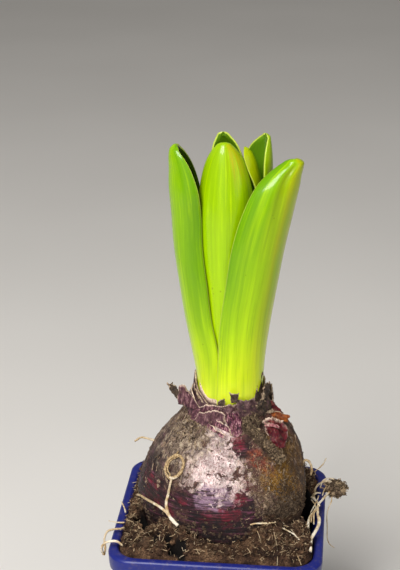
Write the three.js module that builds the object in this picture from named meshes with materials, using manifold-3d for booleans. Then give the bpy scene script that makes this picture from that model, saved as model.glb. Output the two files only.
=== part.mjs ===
// Hyacinth bulb in leaf, half sunk in the soil of a small square nursery pot.
// Millimetres, +Z up. The origin is the middle of the pot's underside.
// Azimuths are in degrees: 0 is the front, -Y, and they grow towards +X.

import * as THREE from 'three';
import { mergeVertices } from 'three/addons/utils/BufferGeometryUtils.js';
import Module from 'manifold-3d';

const wasm = await Module();
wasm.setup();

// Driving dimensions
const GAP = 0.3; // left between pieces that touch

const POT_HEIGHT = 66;
const RIM_HALF = 36; // half the width across the rim
const FOOT_HALF = 25.5;
const CORNER_SHARE = 0.236; // a corner's radius as a share of half the width at its level
const RIM_HEIGHT = 6;
const RIM_WIDTH = 3.2;
const RIM_STEP = 1.9; // how far the rim stands out from the wall below it
const RIM_INNER_HALF = RIM_HALF - RIM_WIDTH;
const POT_WALL = 1.2;
const FOOT_INNER_HALF = FOOT_HALF - POT_WALL;
const POT_FLOOR = 1.8;
const EDGE = 0.7; // how much the pot's edges are rounded off
const DRAIN_RADIUS = 3.5;
const DRAIN_OFFSET = 15;
const SOIL_TOP_EDGE = -9.4; // where the soil meets the pot's wall, below the bulb's widest level

const BULB_SIDE = 1; // the bulb's axis is this far right of the pot's
const BULB_LIFT = 76; // height of the bulb's widest level over the table
const PLANT_TURN = 5.7; // how far the plant is turned from square with the pot
const NECK_SHIFT = 1.5; // the neck leans this far to the right of the bulb's axis
const NECK_TOP = 33;
const NECK_FLOOR = 30.2; // bottom of the socket that the leaves grow from
const SOCKET_RADIUS = 11.6;

// The bulb's half section, from the middle of its base to the lip of its neck
const BULB_PROFILE = [
  [0, -26.6], [7, -27.2], [12, -26.4], [19, -22.8], [25, -15.5], [28.8, -8], [30, -1], [29.5, 5],
  [27.7, 10.5], [25.4, 15.7], [22.6, 20.8], [19.2, 25.6], [16.2, 29.2], [14.4, 31.6], [13.1, NECK_TOP],
];

// Everything that grows has its own frame: origin on the bulb's axis at its widest level
const plant = new THREE.Group();
plant.rotation.z = THREE.MathUtils.degToRad(PLANT_TURN);
plant.position.set(BULB_SIDE, 0, BULB_LIFT);
plant.updateMatrix();

const root = new THREE.Group();
root.add(plant);

const finishes = {
  pot: new THREE.MeshStandardMaterial({ color: 0x2b3f97, roughness: 0.45 }),
  soil: new THREE.MeshStandardMaterial({ color: 0x3b2a1c, roughness: 1 }),
  bulb: new THREE.MeshStandardMaterial({ color: 0x7a6660, roughness: 0.6 }),
  tunic: new THREE.MeshStandardMaterial({ color: 0x5b3346, roughness: 0.6 }),
  crimson: new THREE.MeshStandardMaterial({ color: 0x6a1226, roughness: 0.4 }),
  leaf: new THREE.MeshStandardMaterial({ color: 0x8fc400, roughness: 0.35 }),
  bud: new THREE.MeshStandardMaterial({ color: 0x86b043, roughness: 0.5 }),
  root: new THREE.MeshStandardMaterial({ color: 0xd9c49a, roughness: 0.7 }),
};

// Small helpers

const { degToRad, lerp, smoothstep, clamp } = THREE.MathUtils;

function toward(azimuth, reach, x = 0, y = 0) {
  return [x + Math.sin(degToRad(azimuth)) * reach, y - Math.cos(degToRad(azimuth)) * reach];
}

// Repeatable draw between -1 and 1
function seeded(seed) {
  let state = seed;
  return () => {
    state = (state * 16807) % 2147483647;
    return (state / 2147483647) * 2 - 1;
  };
}

// Smooth curve through evenly spaced values, open or closed on itself
function smooth(values, t, closed = false) {
  const spans = closed ? values.length : values.length - 1;
  const place = clamp(t, 0, 1) * spans;
  const k = Math.min(Math.floor(place), spans - 1);
  const f = place - k;
  const wrap = (i) => (closed ? (i + values.length) % values.length : clamp(i, 0, values.length - 1));
  const [a, b, c, d] = [k - 1, k, k + 1, k + 2].map((i) => values[wrap(i)]);
  return b + 0.5 * f * (c - a + f * (2 * a - 5 * b + 4 * c - d + f * (3 * (b - c) + d - a)));
}

// One value from a table whose rows hold several, such as the leaves' sections
function column(rows, index, t) {
  return smooth(rows.map((row) => row[index]), t);
}

function geometryFrom(points, faces) {
  const geometry = new THREE.BufferGeometry();
  geometry.setAttribute('position', new THREE.Float32BufferAttribute(points.flat(), 3));
  geometry.setIndex(faces.flat());
  geometry.computeVertexNormals();
  return geometry;
}

// Closed sheet between an outer face (side 0) and an inner one (side 1).
// Both faces have the same grid, columns wide and rows high, and are split alike.
function slab(columns, rows, place, wrap = false) {
  const points = [];
  for (const side of [0, 1]) {
    for (let j = 0; j < rows; j++) {
      for (let i = 0; i < columns; i++) {
        points.push(place(i / (wrap ? columns : columns - 1), j / (rows - 1), side));
      }
    }
  }
  const id = (side, i, j) => (side * rows + j) * columns + (i % columns);
  const faces = [];
  const quad = (a, b, c, d) => faces.push([a, b, c], [a, c, d]);
  const last = rows - 1;
  const spans = wrap ? columns : columns - 1;
  for (let i = 0; i < spans; i++) {
    for (let j = 0; j < last; j++) {
      quad(id(0, i, j), id(0, i + 1, j), id(0, i + 1, j + 1), id(0, i, j + 1));
      faces.push([id(1, i, j), id(1, i + 1, j + 1), id(1, i + 1, j)]);
      faces.push([id(1, i, j), id(1, i, j + 1), id(1, i + 1, j + 1)]);
    }
    quad(id(0, i + 1, 0), id(0, i, 0), id(1, i, 0), id(1, i + 1, 0));
    quad(id(0, i, last), id(0, i + 1, last), id(1, i + 1, last), id(1, i, last));
  }
  if (!wrap) {
    const end = columns - 1;
    for (let j = 0; j < last; j++) {
      quad(id(0, 0, j), id(0, 0, j + 1), id(1, 0, j + 1), id(1, 0, j));
      quad(id(0, end, j + 1), id(0, end, j), id(1, end, j), id(1, end, j + 1));
    }
  }
  return geometryFrom(points, faces);
}

// Closed solid through rings of points, each counterclockwise seen along the way they follow
function loft(rings) {
  const count = rings[0].length;
  const points = rings.flat();
  const faces = [];
  for (let k = 0; k < rings.length - 1; k++) {
    for (let i = 0; i < count; i++) {
      const next = (i + 1) % count;
      const [a, b] = [k * count + i, k * count + next];
      faces.push([a, b, b + count], [a, b + count, a + count]);
    }
  }
  const middle = (ring) => [0, 1, 2].map((axis) => ring.reduce((sum, p) => sum + p[axis], 0) / count);
  const bottom = points.push(middle(rings[0])) - 1;
  const top = points.push(middle(rings.at(-1))) - 1;
  const start = (rings.length - 1) * count;
  for (let i = 0; i < count; i++) {
    const next = (i + 1) % count;
    faces.push([next, i, bottom], [start + i, start + next, top]);
  }
  return geometryFrom(points, faces);
}

// Round solid along a curve, its radius running from one end's to the other's
function strand(points, startRadius, endRadius, steps, sides = 6) {
  const curve = new THREE.CatmullRomCurve3(points.map((p) => new THREE.Vector3(...p)));
  const frames = curve.computeFrenetFrames(steps, false);
  const rings = [];
  for (let k = 0; k <= steps; k++) {
    const centre = curve.getPointAt(k / steps);
    const radius = lerp(startRadius, endRadius, k / steps);
    const ring = [];
    for (let i = 0; i < sides; i++) {
      const angle = (i / sides) * Math.PI * 2;
      const p = centre.clone();
      p.addScaledVector(frames.normals[k], Math.cos(angle) * radius);
      p.addScaledVector(frames.binormals[k], Math.sin(angle) * radius);
      ring.push(p.toArray());
    }
    rings.push(ring);
  }
  return loft(rings);
}

// Joins and cuts

function toSolid(geometry) {
  const bare = geometry.clone();
  bare.deleteAttribute('normal');
  bare.deleteAttribute('uv');
  const merged = mergeVertices(bare, 1e-4);
  return new wasm.Manifold(new wasm.Mesh({
    numProp: 3,
    vertProperties: Float32Array.from(merged.attributes.position.array),
    triVerts: Uint32Array.from(merged.index.array),
  }));
}

function fromSolid(solid) {
  const { vertProperties, triVerts, numProp } = solid.getMesh();
  const points = [];
  for (let i = 0; i < vertProperties.length; i += numProp) {
    points.push([vertProperties[i], vertProperties[i + 1], vertProperties[i + 2]]);
  }
  return geometryFrom(points, [Array.from(triVerts)]);
}

const join = (geometries) => fromSolid(geometries.map(toSolid).reduce((sum, one) => sum.add(one)));
const cut = (geometry, cutters) => fromSolid(cutters.map(toSolid).reduce(
  (rest, one) => rest.subtract(one), toSolid(geometry)));

function piece(name, geometry, finish, group) {
  const mesh = new THREE.Mesh(geometry, finishes[finish]);
  mesh.name = name;
  group.add(mesh);
}

// Pot: thin tapered walls, a rim that stands out, four drain holes

const CORNER_STEPS = 5;

function squareRing(half, z) {
  const corner = half * CORNER_SHARE;
  const ring = [];
  const signs = [[1, -1], [1, 1], [-1, 1], [-1, -1]];
  signs.forEach(([sx, sy], quarter) => {
    for (let i = 0; i <= CORNER_STEPS; i++) {
      const angle = degToRad((quarter - 1) * 90 + (i / CORNER_STEPS) * 90);
      const x = sx * (half - corner) + Math.cos(angle) * corner;
      const y = sy * (half - corner) + Math.sin(angle) * corner;
      ring.push([x, y, z]);
    }
  });
  return ring;
}

function pot() {
  const shell = loft([
    squareRing(FOOT_HALF - EDGE, 0),
    squareRing(FOOT_HALF, EDGE),
    squareRing(RIM_HALF - RIM_STEP, POT_HEIGHT - RIM_HEIGHT),
    squareRing(RIM_HALF - EDGE / 2, POT_HEIGHT - RIM_HEIGHT),
    squareRing(RIM_HALF, POT_HEIGHT - EDGE),
    squareRing(RIM_HALF - EDGE, POT_HEIGHT),
    squareRing(RIM_INNER_HALF + EDGE, POT_HEIGHT),
    squareRing(RIM_INNER_HALF, POT_HEIGHT - EDGE),
    squareRing(FOOT_INNER_HALF, POT_FLOOR),
  ]);
  const drains = [-1, 1].flatMap((sx) => [-1, 1].map((sy) => {
    const drain = new THREE.CylinderGeometry(DRAIN_RADIUS, DRAIN_RADIUS, POT_FLOOR * 4, 12);
    drain.rotateX(Math.PI / 2);
    drain.translate(sx * DRAIN_OFFSET, sy * DRAIN_OFFSET, 0);
    return drain;
  }));
  return cut(shell, drains);
}

// Bulb: one lathed body, lumpy and a little ribbed, with a socket in its neck

const BULB_SIDES = 40;
const FLAT_SIDE = 1.4; // how much flatter the bulb is low on its right

function bulbRadius(z) {
  const rows = BULB_PROFILE.slice(1);
  const k = clamp(rows.findIndex((row) => row[1] > z), 1, rows.length - 1);
  const [r0, z0] = rows[k - 1];
  const [r1, z1] = rows[k];
  return lerp(r0, r1, clamp((z - z0) / (z1 - z0), 0, 1));
}

function bulbLumps(azimuth, z) {
  const a = degToRad(azimuth);
  const fade = smoothstep(z, -27, -18) * (1 - smoothstep(z, 22, 30));
  const flatSide = FLAT_SIDE * Math.max(Math.sin(a), 0) ** 3 * (1 - smoothstep(z, 6, 16));
  return fade * (0.35 * Math.sin(3 * a + z * 0.12 + 1) + 0.25 * Math.sin(7 * a - z * 0.2) - 0.2 - flatSide);
}

const neckShift = (z) => NECK_SHIFT * smoothstep(z, 12, 28);

// Point over the bulb's skin, lifted clear of it
function onBulb(azimuth, z, lift) {
  const slope = (bulbRadius(z + 0.5) - bulbRadius(z - 0.5));
  const length = Math.hypot(1, slope);
  const [x, y] = toward(azimuth, bulbRadius(z) + bulbLumps(azimuth, z) + lift / length, neckShift(z));
  return [x, y, z - (lift * slope) / length];
}

function bulb(grow = 0) {
  const steps = 20;
  const rows = [];
  const skin = new THREE.SplineCurve(BULB_PROFILE.map(([r, z]) => new THREE.Vector2(r, z)));
  skin.getSpacedPoints(steps).forEach((p) => rows.push(new THREE.Vector2(Math.max(p.x, 0), p.y)));
  rows[0].x = 0;
  rows.push(new THREE.Vector2(SOCKET_RADIUS + 0.2, NECK_TOP + 0.1));
  rows.push(new THREE.Vector2(SOCKET_RADIUS, NECK_FLOOR), new THREE.Vector2(0, NECK_FLOOR));
  const body = new THREE.LatheGeometry(rows, BULB_SIDES);
  body.rotateX(Math.PI / 2);
  const place = body.attributes.position;
  for (let i = 0; i < place.count; i++) {
    const [x, y, z] = [place.getX(i), place.getY(i), place.getZ(i)];
    const reach = Math.hypot(x, y);
    const azimuth = THREE.MathUtils.radToDeg(Math.atan2(x, -y));
    const lumps = reach > 5 && z < NECK_TOP - 1 ? bulbLumps(azimuth, z) : 0;
    const wide = reach > 1e-6 ? (reach + lumps + grow) / reach : 1;
    place.setXYZ(i, x * wide + neckShift(z), y * wide, z + (z < 0 ? -grow : 0));
  }
  return fromSolid(toSolid(body));
}

// Leaves: each is a stack of level arcs round its own hollow.
// A row is height, middle of the arc (x, y), its radius, and the azimuths where it starts and ends.
// Tuck, row by row, is how far the margin where it ends is pushed back against the blade behind.

const LEAVES = {
  leaf_left: {
    thick: 1.6,
    tuck: [0, 0, 0.8, 2.2, 3, 3.6, 3.1, 1.4, 0.3],
    rows: [
      [30.5, 1.5, 0, 11.2, -188, -26.8],
      [42, 1.6, 0, 11.3, -187, -26],
      [54, -0.3, 0, 11.4, -186, -20],
      [66, -2.8, 0, 11.2, -185, -12],
      [78, -4.8, 0, 10.9, -184, -8],
      [90, -6.7, 0, 10.5, -184, -6],
      [101, -8.2, 0.2, 9.9, -183, 0],
      [109.3, -9.9, 0.4, 9.0, -184, 5],
      [115.6, -11.8, 0.6, 7.1, -184, 6],
      [119.8, -13.6, 0.4, 5.3, -182, 4],
      [122.3, -15.0, 0.2, 3.5, -178, -4],
    ],
  },
  leaf_right: {
    thick: 1.6,
    rows: [
      [30.5, 1.5, 0, 11.2, -24.4, 104],
      [42, 1.5, 0, 11.2, -24.4, 101],
      [54, 2.0, 0, 11.6, -24.5, 96],
      [66, 3.2, -0.1, 12.0, -27, 93],
      [78, 4.9, -0.3, 12.3, -27, 93],
      [90, 6.8, -0.5, 12.4, -28, 96],
      [99, 9.0, -0.9, 11.9, -30, 98],
      [106, 11.5, -1.5, 10.7, -34, 98],
      [111.3, 14.2, -2.2, 9.0, -42, 96],
      [115.2, 17.0, -3.0, 6.7, -54, 98],
      [117.8, 19.3, -3.6, 4.9, -64, 108],
      [119.2, 20.6, -4.0, 3.6, -74, 120],
    ],
  },
  leaf_back_right: {
    thick: 1.5,
    rows: [
      [30.5, 1.5, 0, 11.2, 108, 168],
      [42, 1.6, 0, 11.2, 107, 168],
      [54, 2.3, 0.5, 10.9, 104, 169],
      [66, 3.2, 1.0, 10.2, 97, 170],
      [78, 4.4, 1.6, 9.3, 84, 172],
      [90, 5.6, 2.1, 8.5, 66, 176],
      [101, 6.8, 2.6, 7.7, 46, 190],
      [110, 7.7, 3.0, 7.1, 38, 200],
      [117, 8.5, 3.2, 6.2, 33, 206],
      [121.4, 9.5, 3.6, 4.9, 34, 202],
      [123.9, 10.7, 4.0, 3.4, 38, 194],
      [125.2, 11.6, 4.3, 2.3, 42, 186],
    ],
  },
  leaf_front: {
    thick: 1.4,
    rows: [
      [30.5, 1.5, 0, 9.2, -86, 71],
      [45, 1.4, 0, 9.2, -87, 71],
      [60, 1.0, 0, 9.2, -88, 72],
      [75, 0.6, -0.1, 9.3, -90, 73],
      [90, 0.1, -0.3, 9.4, -92, 74],
      [103, 0, -0.3, 9.3, -92, 75],
      [111, -0.2, -0.2, 8.3, -92, 77],
      [117.6, -0.6, -0.3, 6.5, -90, 82],
      [121.8, -0.9, -0.7, 4.4, -86, 84],
      [124.1, -1.1, -1.2, 2.5, -80, 84],
    ],
  },
  leaf_inner_right: {
    thick: 1.3,
    rows: [
      [30.5, 1.5, 0, 9.2, 75, 127],
      [45, 1.6, 0.1, 9.2, 75, 127],
      [60, 1.9, 0.4, 9.2, 75, 127],
      [75, 2.3, 0.9, 9.0, 73, 127],
      [90, 2.9, 1.5, 8.6, 69, 125],
      [101, 3.4, 2.0, 8.2, 61, 124],
      [110, 3.9, 2.2, 7.4, 46, 123],
      [116.2, 3.9, 2.2, 5.9, 29, 120],
      [119.9, 4.0, 2.1, 4.3, 20, 116],
      [121.5, 4.5, 2.0, 2.7, 18, 110],
    ],
  },
  leaf_back: {
    thick: 1.3,
    rows: [
      [30.5, 1.5, 0, 9.2, 132, 270],
      [45, 1.5, 0.1, 9.1, 132, 269],
      [60, 1.4, 0.3, 8.9, 131, 268],
      [75, 1.1, 0.7, 8.6, 128, 265],
      [90, 0.8, 1.1, 8.2, 120, 262],
      [101, 0.5, 1.5, 7.9, 108, 260],
      [110, 0.3, 1.6, 7.2, 102, 258],
      [117.5, -0.1, 1.9, 5.8, 103, 257],
      [122.8, -0.7, 2.4, 4.1, 104, 252],
      [126.0, -1.4, 3.0, 2.2, 114, 232],
    ],
  },
};

const LEAF_COLUMNS = 8;
const LEAF_ROWS = 20;
const MARGIN_THIN = 0.45; // share of its thickness that a blade loses at its margins
const TIP_ROWS = [[0.72, 0.22], [0.38, 0.36]]; // radius and rise, as shares of the last row's radius
const TIP_LEAN = 0.35; // how far the rounded tip leans out over the blade's own middle
const TUCK_FROM = 0.62; // share of the blade's width where the tucked part begins

function withRoundTip(rows) {
  const [z, x, y, radius, start, end] = rows[rows.length - 1];
  const tip = TIP_ROWS.map(([share, rise]) => {
    const [dx, dy] = toward((start + end) / 2, radius * (1 - share) * TIP_LEAN, 0, 0);
    return [z + rise * radius, x + dx, y + dy, radius * share, start, end];
  });
  return [...rows, ...tip];
}

function leaf({ rows: shape, thick, tuck = [] }) {
  const rows = withRoundTip(shape);
  const tucks = rows.map((_, i) => [tuck[i] ?? 0]);
  return slab(LEAF_COLUMNS, LEAF_ROWS, (u, v, side) => {
    const t = 1 - (1 - v) ** 1.25; // closer rows towards the tip
    const azimuth = lerp(column(rows, 4, t), column(rows, 5, t), u);
    const depth = thick * (1 - MARGIN_THIN * Math.abs(2 * u - 1) ** 3);
    const radius = column(rows, 3, t);
    const reach = side ? Math.max(radius - depth, radius * 0.3) : radius;
    const back = column(tucks, 0, t) * Math.max((u - TUCK_FROM) / (1 - TUCK_FROM), 0) ** 2;
    return [...toward(azimuth, reach, column(rows, 1, t), column(rows, 2, t) + back), column(rows, 0, t)];
  });
}

// Flower spike: a stalk and core with closed buds in rising turns, hidden in the heart of the leaves

const SPIKE_FOOT = 30.6;
const SPIKE_TOP = 99;
const SPIKE_LEAN = [1.0, 0.6];

function spike() {
  const core = [[SPIKE_FOOT, 4.2], [52, 3.6], [60, 2.8], [78, 3.0], [90, 2.2], [SPIKE_TOP - 3, 0.8]];
  const sides = 10;
  const parts = [loft(core.map(([z, r]) => Array.from({ length: sides }, (_, i) => (
    [...toward((i / sides) * 360, r, ...SPIKE_LEAN), z]))))];
  const levels = 6;
  for (let level = 0; level < levels; level++) {
    const share = level / (levels - 1);
    const around = 5 - Math.floor(share * 2);
    const z = lerp(62, SPIKE_TOP - 9, share);
    for (let i = 0; i < around; i++) {
      const azimuth = (i / around) * 360 + level * 38;
      const size = lerp(1, 0.72, share);
      const rings = [[0, 1.1], [2.4, 1.9], [5.2, 1.7], [7.4, 0.5]].map(([along, r]) => {
        const out = 1.2 + along * lerp(0.42, 0.24, share);
        const [x, y] = toward(azimuth, out, ...SPIKE_LEAN);
        return Array.from({ length: 6 }, (_, k) => {
          const [dx, dy] = toward(azimuth + k * 60, r * size);
          return [x + dx, y + dy, z + along];
        });
      });
      parts.push(loft(rings));
    }
  }
  return join(parts);
}

// Papery tunic: a torn collar round the neck with its peeled scales, and one red scale by itself

const COLLAR_TOP = [36.6, 37.4, 39.2, 42.8, 41, 39.5, 38, 38.6, 41, 42.6, 41, 37.4]; // every 30 degrees

function collar() {
  const draw = seeded(11);
  const columns = 40;
  const jags = Array.from({ length: columns }, () => draw() * 0.9);
  const ring = slab(columns, 3, (u, v, side) => {
    const tear = smooth(COLLAR_TOP, u, true) + jags[Math.round(u * columns) % columns];
    const z = lerp(NECK_TOP + 0.45, tear, v);
    const reach = SOCKET_RADIUS + (side ? 0 : lerp(1.5, 0.75, v)) + 0.1;
    return [...toward(u * 360, reach, NECK_SHIFT), z];
  }, true);
  const scales = COLLAR_SCALES.map(({ span, foot, top, stand, lean }) => slab(7, 4, (u, v, side) => {
    const azimuth = lerp(span[0], span[1], u);
    const z = lerp(foot, smooth(top, u), v);
    const reach = SOCKET_RADIUS + lerp(stand, lean, v) + (side ? 0 : 0.75);
    return [...toward(azimuth, reach, NECK_SHIFT), z];
  }));
  return join([ring, ...scales]);
}

// Each scale: azimuths, height of its foot, heights along its torn edge, how far foot and edge stand out
const COLLAR_SCALES = [
  { span: [-112, -52], foot: NECK_TOP + 0.5, top: [35, 37.5, 43.5, 41, 37, 35], stand: 0.9, lean: 5.2 },
  { span: [-56, -8], foot: NECK_TOP + 0.5, top: [37, 37, 36.4, 36.2, 35.4], stand: 0.9, lean: 2.6 },
  { span: [4, 48], foot: NECK_TOP + 0.5, top: [35.4, 38, 37.2, 38.5, 36.5], stand: 0.9, lean: 2.2 },
  { span: [120, 205], foot: NECK_TOP + 0.5, top: [36, 38.5, 37, 40, 38, 35.5], stand: 0.9, lean: 3.4 },
];

// Scale lying on the bulb's shoulder: azimuths, heights along its low and high edge, lift at each edge
function shoulderScale({ span, low, high, lift, thick }) {
  return slab(9, 5, (u, v, side) => {
    const azimuth = lerp(span[0], span[1], u);
    const z = lerp(smooth(low, u), smooth(high, u), v);
    const ripple = 0.25 * Math.sin(u * 9) * v;
    return onBulb(azimuth, z, GAP + 0.15 + lerp(lift[0], lift[1], v * v) + ripple + (side ? 0 : thick));
  });
}

const RED_SCALE = {
  span: [42, 84],
  low: [27.5, 24, 22.4, 22.6, 24.6],
  high: [30.4, 31.2, 29.4, 28.4, 26.4],
  lift: [0.2, 1.9],
  thick: 0.7,
};
const DIRT_STRIP = {
  span: [16, 40],
  low: [27, 23, 19, 15],
  high: [31, 28.5, 25, 21],
  lift: [0.2, 0.4],
  thick: 1.5,
};

// Roots and the clods that cling to them

// A root's points are [x, y, z] where it hangs free, and [azimuth, z] where it lies on the bulb's skin
const SEATS = {
  free: (point) => point,
  skin: ([azimuth, z]) => onBulb(azimuth, z, 1.15),
};

const ROOTS = {
  root_loop: {
    seat: 'skin',
    strands: [
      {
        points: [[-43.5, 13.8], [-38, 15.2], [-36.2, 17.4], [-38.6, 19.6], [-44, 20.6], [-50, 19.8],
          [-54, 17.6], [-53, 15.2], [-48.4, 13.8], [-44, 13.4]],
        radius: [0.65, 0.65],
        steps: 20,
      },
      {
        points: [[-43.5, 14], [-42.8, 9.3], [-42.6, 5.8], [-40.5, 3], [-36.5, 0.8], [-32.1, -0.5]],
        radius: [0.6, 0.75],
        steps: 10,
      },
      {
        points: [[-84, -1.5], [-75, 0.6], [-66, 1.8], [-51.3, 3.1], [-43, 2.8], [-37, 1.2], [-32.1, -0.6]],
        radius: [0.55, 0.7],
        steps: 12,
      },
    ],
  },
  root_hook: {
    seat: 'free',
    strands: [
      {
        points: [[26.6, -2.6, 10.2], [27.4, -2, 11.2], [28.4, -2, 11.1], [29.4, -2, 9.8], [29.9, -2, 8],
          [30, -2, 5.6]],
        radius: [0.6, 0.5],
        steps: 10,
      },
    ],
  },
  root_thread_left: {
    seat: 'free',
    strands: [
      {
        points: [[-23.4, 5.1, 14.6], [-26.4, 5.8, 15.4], [-29.4, 6.4, 15.6], [-31.4, 6.4, 14.2]],
        radius: [0.6, 0.5],
        steps: 8,
      },
    ],
  },
  root_tuft_right: {
    seat: 'free',
    strands: [
      {
        points: [[27.9, -27.3, -8.2], [29.3, -22.2, -6.6], [31.7, -12.6, -6.2], [32.4, -3.9, -6.4],
          [33.8, 2.2, -7], [35.6, 7.4, -7.6]],
        radius: [0.6, 0.7],
        steps: 14,
      },
      {
        points: [[28.2, -13.4, -7.4], [29.4, -8.6, -6.8], [32, -2.2, -6.2], [31.2, 3.2, -6.4]],
        radius: [0.55, 0.55],
        steps: 8,
      },
      {
        points: [[30.4, 4.6, -6.2], [31.2, 0.8, -5.6], [32.5, -4.4, -5.9], [32.2, -9, -6.4]],
        radius: [0.6, 0.55],
        steps: 8,
      },
      {
        points: [[32.6, -3.9, -6.4], [32.4, 2, -7], [32, 8, -6.6], [33.8, 12.4, -5.6], [36.2, 13, -5.2],
          [38, 12.2, -6.4]],
        radius: [0.6, 0.55],
        steps: 10,
      },
    ],
  },
  root_curl_left: {
    seat: 'free',
    strands: [
      {
        points: [[-33.2, -12.4, -8.2], [-36.5, -12.6, -8.6], [-39.2, -12.6, -9.2], [-41, -15.2, -10.2],
          [-41.4, -19.4, -11.8], [-40.8, -22.2, -14], [-41.2, -23.4, -17]],
        radius: [0.6, 0.5],
        steps: 16,
      },
      {
        points: [[-40.9, -21.6, -13.2], [-42, -21.6, -11.2], [-41.4, -21.8, -9.4], [-38.8, -22, -8.4],
          [-36.6, -22.4, -8.2], [-34.4, -23.4, -8.4]],
        radius: [0.55, 0.6],
        steps: 12,
      },
    ],
  },
  root_front: {
    seat: 'skin',
    strands: [
      { points: [[14.4, 2.8], [19, 2.8], [24, 2.2], [29, 1.4]], radius: [0.5, 0.5], steps: 8 },
    ],
  },
  root_front_right: {
    seat: 'free',
    strands: [
      {
        points: [[18.8, -25.4, -1.6], [21.1, -26.4, -2.6], [24, -26.6, -4.4], [25.6, -26.8, -6]],
        radius: [0.5, 0.5],
        steps: 8,
      },
    ],
  },
};

function rootNode({ seat, strands }, grow = 0) {
  const parts = strands.map(({ points, radius, steps }) => {
    return strand(points.map(SEATS[seat]), radius[0] + grow, radius[1] + grow, steps);
  });
  return join(parts);
}

function clod(centre, size, seed) {
  const draw = seeded(seed);
  const ball = new THREE.IcosahedronGeometry(1, 1);
  ball.deleteAttribute('normal');
  ball.deleteAttribute('uv');
  const lump = mergeVertices(ball);
  const place = lump.attributes.position;
  const corner = new THREE.Vector3();
  for (let i = 0; i < place.count; i++) {
    corner.fromBufferAttribute(place, i).multiplyScalar(1 + draw() * CLOD_ROUGHNESS);
    corner.multiply(size).add(centre);
    place.setXYZ(i, corner.x, corner.y, corner.z);
  }
  return lump;
}

const CLOD_CENTRE = new THREE.Vector3(39.9, 10.6, -7);
const CLOD_SIZE = new THREE.Vector3(3.8, 3.6, 2.8);
const CLOD_ROUGHNESS = 0.16;

// Soil: fills the pot, heaped against the bulb, with open cracks beside it

// Heights where the soil meets the bulb, every 30 degrees from the front
const SOIL_CONTACT = [-3.4, 0.4, -1.5, -7, -3, -3, -3, -3, -3.5, -3, -5.5, -1.6];
const SOIL_COLUMNS = 42;

function soilHeight(x, y) {
  const azimuth = THREE.MathUtils.radToDeg(Math.atan2(x, -y));
  const contact = smooth(SOIL_CONTACT, ((azimuth + 360) % 360) / 360, true);
  const out = smoothstep(Math.hypot(x, y), 29, 41);
  const lumps = 0.7 * Math.sin(x * 0.55 + 1) * Math.cos(y * 0.5) + 0.45 * Math.sin(x * 1.1 - y * 0.9);
  return lerp(contact, SOIL_TOP_EDGE + 0.8, out) + lumps;
}

// Distance from the pot's axis to a rounded square's side
function squareReach(azimuth, half) {
  const corner = half * CORNER_SHARE;
  const [x, y] = toward(azimuth, 1).map(Math.abs);
  const flat = half / Math.max(x, y);
  const straight = half - corner;
  if (Math.min(x, y) * flat <= straight) return flat;
  const along = straight * (x + y);
  return along + Math.sqrt(Math.max(along * along - 2 * straight * straight + corner * corner, 0));
}

// The soil's rings, as shares of the way from the pot's axis to its wall
const SOIL_RINGS = [1, 0.94, 0.87, 0.79, 0.7, 0.55, 0.3, 0.1];

function soil(cutters) {
  const wall = (share, z) => {
    const rise = (z - POT_FLOOR) / (POT_HEIGHT - EDGE - POT_FLOOR);
    const half = lerp(FOOT_INNER_HALF, RIM_INNER_HALF, Math.min(rise, 1)) - GAP;
    return Array.from({ length: SOIL_COLUMNS }, (_, i) => {
      const azimuth = (i / SOIL_COLUMNS) * 360;
      return [...toward(azimuth, squareReach(azimuth, half) * share), z];
    });
  };
  const toPlant = plant.matrix.clone().invert();
  const top = SOIL_RINGS.map((share) => wall(share, POT_HEIGHT).map(([x, y]) => {
    const here = new THREE.Vector3(x, y, 0).applyMatrix4(toPlant);
    return [x, y, BULB_LIFT + soilHeight(here.x, here.y)];
  }));
  const body = loft([wall(1, POT_FLOOR + GAP), wall(1, POT_HEIGHT * 0.5), ...top]);
  return cut(body, cutters.map((cutter) => cutter.clone().applyMatrix4(plant.matrix)));
}

// The whole plant

piece('pot', pot(), 'pot', root);
const looseRoots = Object.values(ROOTS).map((node) => rootNode(node, GAP));
piece('soil', soil([bulb(GAP), ...looseRoots]), 'soil', root);
piece('bulb', bulb(), 'bulb', plant);
for (const [name, shape] of Object.entries(LEAVES)) piece(name, leaf(shape), 'leaf', plant);
piece('flower_spike', spike(), 'bud', plant);
piece('tunic_collar', collar(), 'tunic', plant);
piece('tunic_scale_red', shoulderScale(RED_SCALE), 'crimson', plant);
piece('dirt_strip', shoulderScale(DIRT_STRIP), 'soil', plant);
for (const [name, node] of Object.entries(ROOTS)) {
  piece(name, cut(rootNode(node), [bulb(GAP)]), 'root', plant);
}
const hangingClod = cut(clod(CLOD_CENTRE, CLOD_SIZE, 5), [rootNode(ROOTS.root_tuft_right, GAP)]);
piece('clod_right', hangingClod, 'soil', plant);

export default root;
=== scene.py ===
import math
import random
from contextlib import contextmanager

import bpy
from mathutils import Matrix, Vector, noise


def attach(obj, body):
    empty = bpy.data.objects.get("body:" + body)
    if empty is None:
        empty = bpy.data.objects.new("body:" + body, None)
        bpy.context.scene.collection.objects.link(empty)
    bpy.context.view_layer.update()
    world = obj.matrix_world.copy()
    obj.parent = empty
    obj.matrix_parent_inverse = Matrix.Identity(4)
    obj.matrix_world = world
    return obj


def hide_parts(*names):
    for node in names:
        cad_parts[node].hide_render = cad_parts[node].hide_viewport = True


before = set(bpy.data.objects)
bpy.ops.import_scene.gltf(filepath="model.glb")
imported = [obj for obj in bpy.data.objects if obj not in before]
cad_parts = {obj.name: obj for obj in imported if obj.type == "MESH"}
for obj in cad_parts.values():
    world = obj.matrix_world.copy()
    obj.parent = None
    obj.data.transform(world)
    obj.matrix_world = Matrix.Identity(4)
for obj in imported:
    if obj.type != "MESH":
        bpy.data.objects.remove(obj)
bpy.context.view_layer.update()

# Sizes
MM = 0.001
POT_HEIGHT = 66
RIM_HALF = 36  # half the width across the rim
FOOT_HALF = 25.5
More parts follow.
